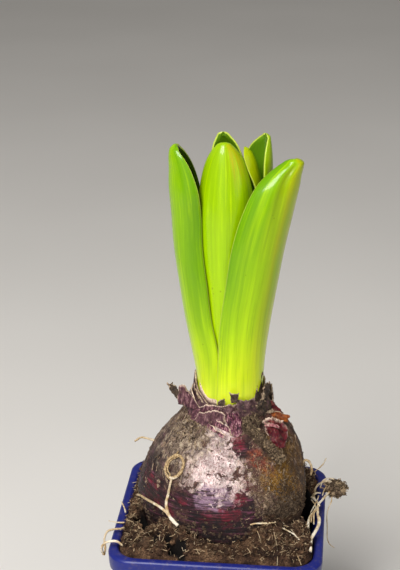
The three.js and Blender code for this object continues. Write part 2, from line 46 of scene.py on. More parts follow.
CORNER_SHARE = 0.236  # a corner's radius as a share of half the width at its level
RIM_HEIGHT = 6
RIM_WIDTH = 3.2
RIM_STEP = 1.9  # how far the rim stands out from the wall below it
RIM_INNER_HALF = RIM_HALF - RIM_WIDTH
POT_WALL = 1.2
FOOT_INNER_HALF = FOOT_HALF - POT_WALL
POT_FLOOR = 1.8
EDGE = 0.7  # how much the pot's edges are rounded off
DRAIN_RADIUS = 3.5
DRAIN_OFFSET = 15
GAP = 0.3  # left between pieces that touch

BULB_SIDE = 1  # the bulb's axis is this far right of the pot's
BULB_LIFT = 76  # height of the bulb's widest level over the table
PLANT_TURN = 5.7  # how far the plant is turned from square with the pot
NECK_SHIFT = 1.5  # the neck leans this far to the right of the bulb's axis
NECK_TOP = 33
NECK_FLOOR = 30.2  # bottom of the socket that the leaves grow from
SOCKET_RADIUS = 11.6
NECK_RADIUS = SOCKET_RADIUS + 0.6  # above the lip, where only scales go on
FLAT_SIDE = 1.4  # how much flatter the bulb is low on its right

# The bulb's half section, from the middle of its base to the lip of its neck
BULB_PROFILE = [
    (0, -26.6), (7, -27.2), (12, -26.4), (19, -22.8), (25, -15.5), (28.8, -8), (30, -1), (29.5, 5),
    (27.7, 10.5), (25.4, 15.7), (22.6, 20.8), (19.2, 25.6), (16.2, 29.2), (14.4, 31.6), (13.1, NECK_TOP),
]

POT_FRAME = Matrix.Scale(MM, 4)
PLANT_STAND = Matrix.Translation((BULB_SIDE, 0, BULB_LIFT))
POT_FROM_PLANT = PLANT_STAND @ Matrix.Rotation(math.radians(PLANT_TURN), 4, "Z")
PLANT_FROM_POT = POT_FROM_PLANT.inverted()
PLANT_FRAME = POT_FRAME @ POT_FROM_PLANT


# Sums

def mix(a, b, share):
    return a + (b - a) * share


def clamp(value):
    """The value, kept from 0 to 1."""
    return min(max(value, 0.0), 1.0)


def ease(value, low, high):
    """0 below low, 1 above high and smooth between them."""
    share = clamp((value - low) / (high - low))
    return share * share * (3 - 2 * share)


def between(value, low, full, fade, high):
    """0 up to low, 1 from full to fade, and 0 again from high on."""
    return ease(value, low, full) * (1 - ease(value, fade, high))


def hump(value, middle, width):
    return math.exp(-((value - middle) / width) ** 2)


def smooth(values, t, closed=False):
    """A smooth curve through evenly spaced values, open or closed on itself."""
    spans = len(values) if closed else len(values) - 1
    place = clamp(t) * spans
    k = min(int(place), spans - 1)
    f = place - k

    def at(i):
        return values[i % len(values)] if closed else values[min(max(i, 0), len(values) - 1)]

    a, b, c, d = at(k - 1), at(k), at(k + 1), at(k + 2)
    return b + 0.5 * f * (c - a + f * (2 * a - 5 * b + 4 * c - d + f * (3 * (b - c) + d - a)))


def toward(azimuth, reach, x=0.0, y=0.0, z=0.0):
    angle = math.radians(azimuth)
    return Vector((x + math.sin(angle) * reach, y - math.cos(angle) * reach, z))


def azimuth_of(x, y):
    return math.degrees(math.atan2(x, -y))


# The bulb's form, which its skin, scales and soil all follow

def bulb_radius(z):
    """Radius at a height, from the rim of the base up; above the lip the neck goes on."""
    rows = BULB_PROFILE[1:]
    if z >= NECK_TOP:
        return mix(rows[-1][0], NECK_RADIUS, ease(z, NECK_TOP, NECK_TOP + 4))
    for (r0, z0), (r1, z1) in zip(rows, rows[1:]):
        if z <= z1:
            return mix(r0, r1, clamp((z - z0) / (z1 - z0)))
    return rows[-1][0]


def bulb_lumps(azimuth, z):
    a = math.radians(azimuth)
    fade = between(z, -27, -18, 22, 30)
    flat_side = FLAT_SIDE * max(math.sin(a), 0) ** 3 * (1 - ease(z, 6, 16))
    return fade * (0.35 * math.sin(3 * a + z * 0.12 + 1) + 0.25 * math.sin(7 * a - z * 0.2) - 0.2 - flat_side)


def neck_shift(z):
    return NECK_SHIFT * ease(z, 12, 28)


def on_bulb(azimuth, z, lift=0.0):
    """A point over the bulb's skin, lifted clear of it."""
    slope = bulb_radius(z + 0.5) - bulb_radius(z - 0.5)
    length = math.hypot(1, slope)
    reach = bulb_radius(z) + bulb_lumps(azimuth, z) + lift / length
    return toward(azimuth, reach, neck_shift(z), 0, z - lift * slope / length)


# Hand work on meshes

def choose(*objects):
    """Leaves these objects as the only selected ones, the first of them active."""
    for other in bpy.context.selected_objects:
        other.select_set(False)
    for obj in objects:
        obj.select_set(True)
    if objects:
        bpy.context.view_layer.objects.active = objects[0]


def added(name, data):
    obj = bpy.data.objects.new(name, data)
    bpy.context.scene.collection.objects.link(obj)
    return obj


def shape_of(obj):
    """Takes an object away and keeps its mesh, of which copies can be made."""
    shape = obj.data.copy()
    bpy.data.objects.remove(obj)
    return shape


def shaped_grid(name, columns, rows, place):
    """A grid whose corners go where place(u, v) says, u and v running from 0 to 1 across and along it."""
    choose()
    bpy.ops.mesh.primitive_grid_add(x_subdivisions=columns, y_subdivisions=rows, size=1)
    obj = bpy.context.object
    obj.name = obj.data.name = name
    for corner in obj.data.vertices:
        corner.co = place(corner.co.x + 0.5, corner.co.y + 0.5)
    return obj


def worked(obj, kind, **settings):
    """Adds one modifier and applies it."""
    choose(obj)
    modifier = obj.modifiers.new(kind.title(), kind)
    for key, value in settings.items():
        setattr(modifier, key, value)
    bpy.ops.object.modifier_apply(modifier=modifier.name)
    return obj


@contextmanager
def editing(obj, afresh=True):
    """Edit mode on one object, with all of it selected unless its selection is kept."""
    choose(obj)
    bpy.ops.object.mode_set(mode="EDIT")
    if afresh:
        bpy.ops.mesh.select_all(action="SELECT")
    yield
    bpy.ops.object.mode_set(mode="OBJECT")


def closed_up(obj, distance=0.01):
    """Merges seams and poles, closes what is open and turns the faces outwards."""
    with editing(obj):
        bpy.ops.mesh.remove_doubles(threshold=distance)
        bpy.ops.mesh.select_all(action="DESELECT")
        bpy.ops.mesh.select_non_manifold(extend=False, use_wire=False, use_multi_face=False, use_verts=False)
        bpy.ops.mesh.edge_face_add()
        bpy.ops.mesh.select_all(action="SELECT")
        bpy.ops.mesh.normals_make_consistent(inside=False)
    return obj


def smoothed(obj):
    choose(obj)
    bpy.ops.object.shade_smooth()
    return obj


def roughened(obj, size, strength, seed):
    """Moves the surface in and out by a cloud pattern, its size and strength in millimetres."""
    clouds = bpy.data.textures.new(obj.name + "_relief", "CLOUDS")
    clouds.noise_scale = size
    clouds.noise_depth = 4
    place = added("relief_place", None)
    place.location = (seed * 7.3, seed * -5.1, seed * 3.7)
    bpy.context.view_layer.update()
    worked(obj, "DISPLACE", texture=clouds, strength=strength, mid_level=0.5,
           texture_coords="OBJECT", texture_coords_object=place)
    bpy.data.objects.remove(place)
    return obj


def joined(name, objects):
    choose(*objects)
    if len(objects) > 1:
        bpy.ops.object.join()
    obj = bpy.context.object
    obj.name = obj.data.name = name
    return obj


def strand(points, start, end, roundness=2, steps=6):
    """A root through given points, its radius running from start to end.

    Roundness 0 gives it four sides, and 2 gives it eight.
    """
    choose()
    bpy.ops.curve.primitive_bezier_curve_add()
    obj = bpy.context.object
    line = obj.data
    line.bevel_depth = 1
    line.bevel_resolution = roundness
    line.resolution_u = steps
    line.use_fill_caps = True
    spline = line.splines[0]
    spline.bezier_points.add(len(points) - 2)
    for k, (knot, place) in enumerate(zip(spline.bezier_points, points)):
        knot.co = place
        knot.handle_left_type = knot.handle_right_type = "AUTO"
        knot.radius = mix(start, end, k / (len(points) - 1))
    bpy.ops.object.convert(target="MESH")
    return bpy.context.object


def grid_places(obj):
    """Each corner's place (u, v) on the grid that it was shaped from."""
    uv = obj.data.uv_layers[0].data
    return {loop.vertex_index: tuple(uv[loop.index].uv) for loop in obj.data.loops}


def painted(obj, name, value):
    """Sets an attribute that the material reads: one number, or a function of the place on the grid."""
    layer = obj.data.attributes.new(name, "FLOAT", "POINT")
    if callable(value):
        places = grid_places(obj)
        values = [value(*places[corner.index]) for corner in obj.data.vertices]
    else:
        values = [value] * len(obj.data.vertices)
    layer.data.foreach_set("value", values)
    return obj


def weighted(obj, name, share):
    """A vertex group in which each corner's weight is a function of its place."""
    group = obj.vertex_groups.new(name=name)
    for corner in obj.data.vertices:
        group.add([corner.index], share(*corner.co), "REPLACE")


def finished(obj, *materials):
    for material in materials:
        obj.data.materials.append(material)
    return obj


def set_down(obj, nodes, materials=(), home=PLANT_FRAME):
    """Brings a finished mesh to metres in the frame, and says what it rides on and stands for."""
    obj.data.transform(home)
    finished(obj, *materials)
    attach(obj, "root")
    if nodes:
        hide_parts(*nodes)
    return obj


# Many small copies of one shape, gathered in one mesh

def grain(seed, roughness=0.3):
    """A rough lump of 20 faces, 1 mm in radius."""
    draw = random.Random(seed)
    choose()
    bpy.ops.mesh.primitive_ico_sphere_add(subdivisions=1, radius=1)
    obj = bpy.context.object
    for corner in obj.data.vertices:
        corner.co *= 1 + draw.uniform(-roughness, roughness)
    return shape_of(obj)


def fibre(seed):
    """A curly thread with four sides, 2 mm long, lying along X."""
    draw = random.Random(seed)
    curl = draw.uniform(-1.2, 1.2)
    points = []
    for k in range(5):
        along = k / 4
        sway = 0.45 * math.sin(along * math.pi * (1.2 + curl))
        points.append((2 * along - 1, sway, draw.uniform(-0.15, 0.25)))
    return shape_of(strand(points, 0.13, 0.06, roundness=0, steps=1))


def scattered(name, places):
    """Copies of small meshes in one object; an entry is (mesh, matrix, tint from 0 dark to 1 pale)."""
    points, faces, tints = [], [], []
    for mesh, matrix, tint in places:
        first = len(points)
        points.extend(matrix @ corner.co for corner in mesh.vertices)
        faces.extend([first + i for i in face.vertices] for face in mesh.polygons)
        tints.extend([tint] * len(mesh.vertices))
    mesh = bpy.data.meshes.new(name)
    mesh.from_pydata(points, [], faces)
    layer = mesh.attributes.new("tint", "FLOAT", "POINT")
    layer.data.foreach_set("value", tints)
    return added(name, mesh)


def tumbled(draw, place, size, flat=1.0):
    """A random turn, slightly uneven size and a place for one small copy."""
    turn = Matrix.Rotation(draw.uniform(0, math.tau), 4, Vector([draw.uniform(-1, 1) for _ in range(3)]))
    scale = Matrix.Diagonal((size * draw.uniform(0.7, 1.3), size * draw.uniform(0.7, 1.3), size * flat, 1))
    return Matrix.Translation(place) @ turn @ scale


# Materials

def tone(red, green, blue):
    """A colour as seen on a screen, 0 to 255, turned to light."""
    def light(value):
        value /= 255
        return value / 12.92 if value <= 0.04045 else ((value + 0.055) / 1.055) ** 2.4
    return (light(red), light(green), light(blue), 1)


SOFT_EDGE = 0.35  # a zone's edge fades over this share of its radius, inwards and outwards


class Finish:
    """One procedural material, built by short calls that add a node and give back its output."""

    def __init__(self, name, **shader):
        self.material = bpy.data.materials.new(name)
        self.material.use_nodes = True
        self.tree = self.material.node_tree
        self.shader = self.tree.nodes["Principled BSDF"]
        for key, value in shader.items():
            self.shader.inputs[key.replace("_", " ").title().replace("Ior", "IOR")].default_value = value

    def feed(self, socket, value):
        if isinstance(value, bpy.types.NodeSocket):
            self.tree.links.new(value, socket)
        elif value is not None:
            socket.default_value = value

    def node(self, kind, inputs, **settings):
        made = self.tree.nodes.new(kind)
        for key, value in settings.items():
            setattr(made, key, value)
        for key, value in inputs.items():
            self.feed(made.inputs[key], value)
        return made

    def place(self, scale=(1, 1, 1), shift=(0, 0, 0)):
        """Object coordinates in millimetres, stretched and shifted."""
        source = self.node("ShaderNodeTexCoord", {}).outputs["Object"]
        size = tuple(s / MM for s in scale)
        return self.node("ShaderNodeMapping", {"Vector": source, "Scale": size, "Location": shift}).outputs[0]

    def split(self, vector):
        return self.node("ShaderNodeSeparateXYZ", {"Vector": vector}).outputs

    def attribute(self, name):
        return self.node("ShaderNodeAttribute", {}, attribute_name=name).outputs["Fac"]

    def noise(self, vector, scale, detail=4.0, roughness=0.55, distortion=0.0):
        inputs = {"Vector": vector, "Scale": scale, "Detail": detail, "Roughness": roughness,
                  "Distortion": distortion}
        return self.node("ShaderNodeTexNoise", inputs).outputs["Fac"]

    def cells(self, vector, scale):
        return self.node("ShaderNodeTexVoronoi", {"Vector": vector, "Scale": scale}).outputs["Distance"]

    def maths(self, operation, a, b=None, c=None):
        made = self.node("ShaderNodeMath", {}, operation=operation)
        for socket, value in zip(made.inputs, (a, b, c)):
            self.feed(socket, value)
        return made.outputs[0]

    def times(self, a, b, plus=None):
        """a times b, with plus added where it is given."""
        return self.maths("MULTIPLY" if plus is None else "MULTIPLY_ADD", a, b, plus)

    def step(self, value, low, high, start=0.0, end=1.0):
        """A smooth step of the value from low to high."""
        inputs = {"Value": value, "From Min": low, "From Max": high, "To Min": start, "To Max": end}
        return self.node("ShaderNodeMapRange", inputs, interpolation_type="SMOOTHSTEP").outputs[0]

    def blend(self, share, under, over, kind="MIX"):
        """Lays one colour over another by a share; either may be a node's output or a screen colour."""
        made = self.node("ShaderNodeMix", {}, data_type="RGBA", blend_type=kind)
        for index, value in ((0, share), (6, under), (7, over)):
            self.feed(made.inputs[index], tone(*value) if isinstance(value, tuple) else value)
        return made.outputs[2]

    def layers(self, colour, *laid):
        """Lays colours over the first one in turn, each given as a share and a colour."""
        for share, over in laid:
            colour = self.blend(share, colour, over)
        return colour

    def ramp(self, share, *stops):
        """A colour ramp through stops, each a place and a screen colour."""
        made = self.node("ShaderNodeValToRGB", {"Fac": share})
        band = made.color_ramp.elements
        while len(band) < len(stops):
            band.new(0.5)
        for mark, (where, colour) in zip(band, stops):
            mark.position = where
            mark.color = tone(*colour)
        return made.outputs["Color"]

    def near(self, point, radius, wander):
        """1 round a point given in metres, falling off round a radius in millimetres that wanders."""
        source = self.node("ShaderNodeTexCoord", {}).outputs["Object"]
        measured = self.node("ShaderNodeVectorMath", {0: source, 1: point}, operation="DISTANCE")
        reach = self.maths("DIVIDE", measured.outputs["Value"], radius * MM)
        return self.step(self.maths("ADD", reach, wander), 1 + SOFT_EDGE, 1 - SOFT_EDGE)

    def relief(self, height, strength, depth, under=None):
        """A bump of the given depth in millimetres."""
        inputs = {"Height": height, "Strength": strength, "Distance": depth * MM, "Normal": under}
        return self.node("ShaderNodeBump", inputs).outputs[0]

    def done(self, colour, roughness=None, normal=None):
        self.feed(self.shader.inputs["Base Color"], colour)
        self.feed(self.shader.inputs["Roughness"], roughness)
        self.feed(self.shader.inputs["Normal"], normal)
        return self.material


def pot_plastic():
    blue = Finish("pot_plastic", specular_ior_level=0.35)
    place = blue.place()
    clouds = blue.noise(place, 0.06)
    colour = blue.ramp(clouds, (0.3, (20, 28, 104)), (0.7, (30, 40, 122)))
    scratches = blue.noise(blue.place(scale=(0.25, 0.25, 2.2)), 0.9, detail=8, roughness=0.7)
    scuffs = blue.step(scratches, 0.6, 0.75)
    colour = blue.blend(blue.times(scuffs, 0.18), colour, (128, 138, 190))
    height = blue.split(place)[2]
    specks = blue.step(blue.noise(place, 0.5, detail=6, roughness=0.7), 0.5, 0.72)
    dust = blue.times(blue.step(height, POT_HEIGHT - 9, POT_HEIGHT), specks)
    colour = blue.blend(blue.times(dust, 0.5), colour, (112, 98, 92))
    grain_relief = blue.relief(blue.noise(place, 2.4, detail=3), 0.25, 0.06)
    roughness = blue.times(scuffs, 0.15, 0.36)
    return blue.done(colour, roughness, grain_relief)


def peat(name="peat", pale=0.0):
    """Crumbly peat with tan fibres; pale turns it to dry grey-brown dirt."""
    soil = Finish(name, specular_ior_level=0.25)
    place = soil.place()
    coarse = soil.noise(place, 0.3, detail=5, roughness=0.6)
    fine = soil.noise(place, 2.1, detail=8, roughness=0.75)
    tint = soil.attribute("tint")
    colour = soil.ramp(coarse, (0.32, (46, 30, 21)), (0.5, (90, 64, 46)), (0.68, (138, 106, 78)))
    dry = soil.ramp(coarse, (0.32, (66, 54, 44)), (0.5, (108, 90, 72)), (0.68, (146, 126, 104)))
    colour = soil.layers(
        colour,
        (pale, dry),
        (soil.step(fine, 0.4, 0.6, 0.75, 0.0), (20, 12, 8)),
        (soil.step(fine, 0.58, 0.7, 0.0, 0.6), (168, 136, 98)),
        (soil.step(tint, 0.3, 0.0, 0.0, 0.6), (30, 18, 12)),
        (soil.step(tint, 0.5, 1.0, 0.0, 0.8), (194, 168, 132)),
        # near-black painted shade where the tint falls below 0, down in the cracks
        (soil.step(tint, 0.1, -0.5, 0.0, 0.95), (8, 5, 4)))
    return soil.done(colour, 0.92, soil.relief(fine, 0.8, 0.5))


# Each zone of the bulb's skin: azimuth, height, reach in millimetres, and how much it shows
# The silver zones also carry a painted highlight on the front of the bulb
SILVER_AND_HIGHLIGHT_ZONES = [(-12, 19, 8, 1.0), (-5, 13, 7, 0.9), (-10, 25.5, 7, 0.8), (-15, 30, 5, 0.9), (6, 17, 6, 0.5),
                (-25, 13, 5, 0.5), (14, 19.5, 3, 0.4), (-30, 20, 6, 0.5)]
GREY_ZONES = [(-50, 27, 12, 1.0), (-30, 28, 8, 0.8), (-38, 17, 8, 0.6), (26, 14, 9, 1.0), (150, 16, 16, 0.7),
              (-120, 20, 14, 0.7)]
GOLD_ZONES = [(46, 14, 7, 1.0), (49, 7, 6, 0.9), (55, 22, 8, 0.8), (70, 12, 11, 0.55), (200, 10, 14, 0.6)]
PLUM_ZONES = [(-30, 8, 5, 1.0), (-12, 3, 9, 1.0), (4, 3, 9, 1.0), (-66, 9, 12, 0.9), (-78, 15, 9, 0.7),
              (-72, 0, 11, 1.0), (-48, 2, 9, 1.0), (110, 5, 15, 0.7), (-160, 4, 16, 0.8), (12, 25, 3.5, 0.8)]
RUST_ZONES = [(24, 21.2, 3.2, 1.0), (30, 19.6, 2.6, 0.8), (36, 17, 2.4, 0.4)]
CRIMSON_ZONES = [(-30, 7.9, 1.9, 1.0), (-66, 9.9, 1.8, 0.8), (-57, 8.4, 1.8, 0.8), (-64, 5, 2.6, 0.7),
                 (-54, 3, 2.8, 0.7), (-74, 9, 2.4, 0.5), (9, 10, 2.0, 0.8), (1, 5, 3.4, 0.9),
                 (9, 26.4, 2.4, 0.9), (16, 14, 1.6, 0.5), (-40, 3, 2.4, 0.6), (-12, 4.5, 2.6, 0.5),
                 (32, 4, 2, 0.5)]
SCAB_ZONES = [(-50, 25, 10, 1.0), (-36, 28, 7, 0.9), (-64, 19, 7, 0.7), (-42, 17, 4, 0.6),
              (-120, 20, 12, 0.7), (150, 18, 12, 0.6)]
LILAC_AND_SHEEN_ZONES = [(-12, 10.4, 4, 0.8), (-4, 9.6, 3.6, 0.8)]


def bulb_skin():
    """Dry skin: silver-pink outer layer in torn patches over plum, with dirt caked on it."""
    skin = Finish("bulb_skin", specular_ior_level=0.34)
    place = skin.place()
    wander = skin.times(skin.noise(place, 0.22, detail=7, roughness=0.7), 3.2, -1.6)

    def zones(marks):
        total = None
        for azimuth, z, reach, share in marks:
            one = skin.times(skin.near(PLANT_FRAME @ on_bulb(azimuth, z), reach, wander), share)
            total = one if total is None else skin.maths("MAXIMUM", total, one)
        return total

    silver, grey, gold, plum = (zones(marks) for marks in (SILVER_AND_HIGHLIGHT_ZONES, GREY_ZONES, GOLD_ZONES, PLUM_ZONES))
    fine = skin.noise(place, 1.5, detail=9, roughness=0.75)
    grit = skin.noise(place, 2.3, detail=7, roughness=0.8)
    blotch = skin.noise(place, 0.42, detail=9, roughness=0.68, distortion=0.5)
    # Fibres run up and down the skin, and wrinkles run round it
    fibres = skin.noise(skin.place(scale=(1, 1, 0.14)), 1.5, detail=7, roughness=0.7)
    wrinkles = skin.noise(skin.place(scale=(0.1, 0.1, 1.0)), 1.0, detail=6, roughness=0.65, distortion=0.9)
    mottle = skin.noise(place, 0.2, detail=5, roughness=0.6, distortion=0.8)
    flecks = skin.noise(skin.place(scale=(1, 1, 0.5)), 1.1, detail=8, roughness=0.75, distortion=1.4)

    # What lies under the outer layer
    colour = skin.ramp(fine, (0.36, (44, 24, 24)), (0.52, (88, 54, 48)), (0.68, (132, 98, 82)))
    colour = skin.layers(
        colour,
        (gold, skin.ramp(fine, (0.38, (50, 32, 12)), (0.5, (112, 78, 26)), (0.64, (168, 126, 52)))),
        # plum, whose pale stops along the wrinkles are painted highlights
        (plum, skin.ramp(wrinkles, (0.42, (20, 3, 8)), (0.54, (52, 10, 22)), (0.67, (128, 70, 96)))))
    rust = skin.times(zones(RUST_ZONES), skin.step(blotch, 0.42, 0.54))

    # The outer layer, nearly whole where it is silver, in scraps elsewhere
    held = blotch
    for zone, more in ((silver, 0.15), (grey, 0.03), (gold, -0.1), (plum, -0.12)):
        held = skin.times(zone, more, held)
    outer = skin.step(held, 0.55, 0.57)
    dull = skin.ramp(fine, (0.38, (84, 70, 62)), (0.5, (146, 120, 104)), (0.62, (206, 176, 148)))
    # Silver-pink skin whose palest stops are a painted highlight
    bright = skin.ramp(flecks, (0.37, (150, 120, 118)), (0.46, (222, 184, 180)), (0.56, (255, 238, 234)))
    layer = skin.layers(
        dull,
        (silver, bright),
        (skin.step(fibres, 0.5, 0.4, 0.0, 0.6), (104, 82, 82)),
        (skin.step(mottle, 0.48, 0.38, 0.0, 0.4), (122, 98, 94)))
    colour = skin.blend(outer, colour, layer)
    edge = skin.times(skin.step(held, 0.525, 0.55), skin.step(held, 0.57, 0.55))
    edge = skin.times(edge, skin.times(silver, -0.35, 0.6))
    colour = skin.blend(edge, colour, (34, 20, 20))
    # Lilac along the wrinkles, partly its own tone and partly a painted sheen
    lilac_and_sheen = skin.times(zones(LILAC_AND_SHEEN_ZONES), skin.step(wrinkles, 0.42, 0.56))
    colour = skin.blend(lilac_and_sheen, colour, (164, 132, 156))

    # Dirt, thick over the shoulder and near the soil, thin and in specks elsewhere
    height = skin.split(place)[2]
    base = skin.step(height, BULB_LIFT + 10, BULB_LIFT - 5)
    caked = skin.noise(place, 0.7, detail=10, roughness=0.78)
    for zone, more in ((silver, -0.09), (grey, 0.07), (base, 0.14), (gold, 0.06), (plum, -0.16)):
        caked = skin.times(zone, more, caked)
    dirt = skin.step(caked, 0.55, 0.58)
    earth = skin.ramp(grit, (0.36, (58, 42, 30)), (0.5, (112, 90, 70)), (0.62, (168, 144, 114)))
    ochre = skin.ramp(grit, (0.38, (40, 25, 10)), (0.5, (118, 80, 24)), (0.62, (196, 148, 60)))
    earth = skin.blend(gold, earth, ochre)
    colour = skin.blend(skin.times(dirt, 0.85), colour, earth)
    colour = skin.blend(rust, colour, skin.ramp(fine, (0.42, (92, 28, 18)), (0.6, (156, 76, 50))))
    crimson = skin.times(zones(CRIMSON_ZONES), skin.step(fibres, 0.4, 0.5, 0.5, 1.0))
    colour = skin.blend(crimson, colour, skin.ramp(wrinkles, (0.42, (54, 4, 14)), (0.6, (128, 20, 44))))
    chips = skin.times(skin.step(flecks, 0.57, 0.6), skin.times(grey, 0.65, 0.2))
    chips = skin.times(chips, skin.step(plum, 1.0, 0.3))
    colour = skin.blend(chips, colour, (204, 180, 146))
    scab = skin.noise(skin.place(scale=(1, 1, 0.7)), 0.5, detail=9, roughness=0.74, distortion=0.7)
    scabs = skin.ramp(scab, (0.4, (54, 44, 40)), (0.48, (112, 96, 84)), (0.54, (168, 148, 128)),
                      (0.62, (218, 200, 172)))
    colour = skin.blend(skin.times(zones(SCAB_ZONES), 0.7), colour, scabs)
    shade = skin.times(skin.step(mottle, 0.56, 0.44), skin.times(silver, -0.4, 0.65))
    shade = skin.times(shade, skin.times(grey, -0.6, 1.0))
    colour = skin.blend(shade, colour, (112, 98, 92), "MULTIPLY")
    pits = skin.step(grit, 0.42, 0.34)
    pits = skin.times(pits, skin.times(silver, -0.5, 0.75))
    colour = skin.blend(pits, colour, (30, 18, 16))
    # Darker towards the bottom of the bulb
    low = skin.step(height, BULB_LIFT + 9, BULB_LIFT - 4, 0.0, 0.8)
    colour = skin.blend(low, colour, (150, 120, 100), "MULTIPLY")

    normal = skin.relief(fibres, 0.45, 0.35)
    normal = skin.relief(skin.times(wrinkles, plum), 0.8, 0.8, normal)
    normal = skin.relief(skin.maths("ADD", outer, dirt), 0.5, 0.22, normal)
    normal = skin.relief(fine, 0.6, 0.5, normal)
    gloss = skin.times(skin.times(outer, silver), -0.32, 0.66)
    gloss = skin.times(plum, -0.18, gloss)
    gloss = skin.times(dirt, 0.3, gloss)
    return skin.done(colour, gloss, normal)


LEAF_FOOT = 30  # a blade's colours run from this height over the bulb's middle
LEAF_SPAN = 95  # up to this much above it


def leaf_green(name, inner=False):
    """Fleshy blade: cream at the neck, yellow-green above, streaked along its length."""
    leaf = Finish(name, specular_ior_level=0.12, subsurface_weight=0.06, subsurface_scale=0.003,
                  coat_weight=0.55, coat_roughness=0.13, coat_ior=1.36)
    leaf.shader.inputs["Subsurface Radius"].default_value = (0.9, 1.0, 0.1)
    across = leaf.split(leaf.node("ShaderNodeUVMap", {}, uv_map="UVMap").outputs[0])[0]
    seed = leaf.attribute("leaf_seed")
    height = leaf.split(leaf.place(shift=(0, 0, -BULB_LIFT - LEAF_FOOT)))[2]
    share = leaf.maths("DIVIDE", height, LEAF_SPAN)

    def lines(fine, long):
        """Coordinates that draw a pattern out along the blade."""
        inputs = {"X": leaf.times(across, fine), "Y": leaf.times(share, long), "Z": leaf.times(seed, 9.7)}
        return leaf.node("ShaderNodeCombineXYZ", inputs).outputs[0]

    colour = leaf.ramp(
        share, (0.02, (238, 236, 160)), (0.07, (226, 238, 62)), (0.17, (202, 226, 6)),
        (0.36, (170, 208, 0)), (0.6, (154, 198, 0)), (0.85, (144, 188, 2)), (1.0, (142, 184, 10)))
    bands = leaf.noise(lines(6, 1.2), 1.0, detail=3, roughness=0.5)
    fine = leaf.noise(lines(30, 3.0), 1.0, detail=5, roughness=0.65)
    green = leaf.blend(leaf.step(share, 0.0, 0.3), (190, 214, 30), (126, 168, 0))
    bright = leaf.blend(leaf.step(share, 0.1, 0.4), (226, 236, 30), (190, 224, 0))
    colour = leaf.layers(
        colour,
        (leaf.step(bands, 0.46, 0.66, 0.0, 0.7), green),
        (leaf.step(bands, 0.44, 0.3, 0.0, 0.55), bright),
        (leaf.step(fine, 0.5, 0.66, 0.0, 0.55), green),
        (leaf.step(fine, 0.46, 0.34, 0.0, 0.5), bright))
    # Some blades are yellower, in part painted warm bounce light; one side of the outer ones is a deeper
    # green, in part painted shade; and painted shade darkens the crease
    yellow = leaf.step(leaf.noise(lines(3.2, 1.6), 1.0, detail=3), 0.36, 0.6, 0.3, 1.0)
    yellow = leaf.times(leaf.attribute("leaf_warmth_and_bounce"), yellow)
    warm = leaf.blend(leaf.step(share, 0.15, 0.5), (234, 228, 24), (172, 180, 0))
    deep_and_shade = leaf.times(leaf.attribute("leaf_deep_and_shade"), leaf.step(fine, 0.3, 0.6, 0.65, 1.0))
    blush = leaf.times(leaf.attribute("leaf_blush"), leaf.step(fine, 0.36, 0.6))
    off = leaf.maths("ABSOLUTE", leaf.times(across, 2.0, -1.0))
    rim = leaf.times(leaf.step(off, 0.975, 1.0), leaf.step(share, 0.05, 0.3))
    colour = leaf.layers(
        colour,
        # yellower tone, partly painted warm bounce light
        (leaf.times(yellow, leaf.step(share, 0.05, 0.35)), warm),
        # deeper green towards one margin, partly own tone and partly painted shade
        (leaf.times(deep_and_shade, 0.85), (92, 144, 2)),
        # painted shade along the crease
        (leaf.times(leaf.attribute("leaf_crease_shade"), 0.6), (118, 124, 0)),
        (blush, (196, 164, 0)),
        (leaf.times(rim, 0.6), (206, 214, 100)))
    if inner:
        # The inside is a darker green up the blade, partly its own tone and partly painted shade; leaf_shade
        # adds more painted shade in the hollow.
        inside_green_and_shade = leaf.blend(leaf.step(share, 0.0, 0.5), (180, 200, 60), (76, 122, 18))
        colour = leaf.layers(colour, (0.85, inside_green_and_shade), (leaf.attribute("leaf_shade"), (24, 28, 2)))
    specks = leaf.step(leaf.cells(leaf.place(), 0.42), 0.16, 0.1)
    rare = leaf.step(leaf.noise(leaf.place(), 0.12, detail=1), 0.6, 0.66)
    specks = leaf.times(specks, rare)
    colour = leaf.blend(leaf.times(specks, 0.5), colour, (104, 116, 0))
    veins = leaf.relief(fine, 0.3, 0.14)
    veins = leaf.relief(bands, 0.25, 0.5, veins)
    gloss = leaf.times(fine, 0.12, 0.24)
    return leaf.done(colour, gloss, veins)


def bud_green():
    bud = Finish("bud_green", specular_ior_level=0.4)
    place = bud.place()
    height = bud.split(place)[2]
    lift = bud.step(height, 135, 178)
    colour = bud.ramp(lift, (0.0, (196, 214, 110)), (0.5, (150, 184, 70)), (1.0, (112, 152, 66)))
    ribs = bud.noise(bud.place(scale=(1, 1, 0.15)), 1.2, detail=4)
    colour = bud.blend(bud.step(ribs, 0.5, 0.7, 0.0, 0.5), colour, (84, 128, 48))
    return bud.done(colour, 0.48, bud.relief(ribs, 0.4, 0.3))


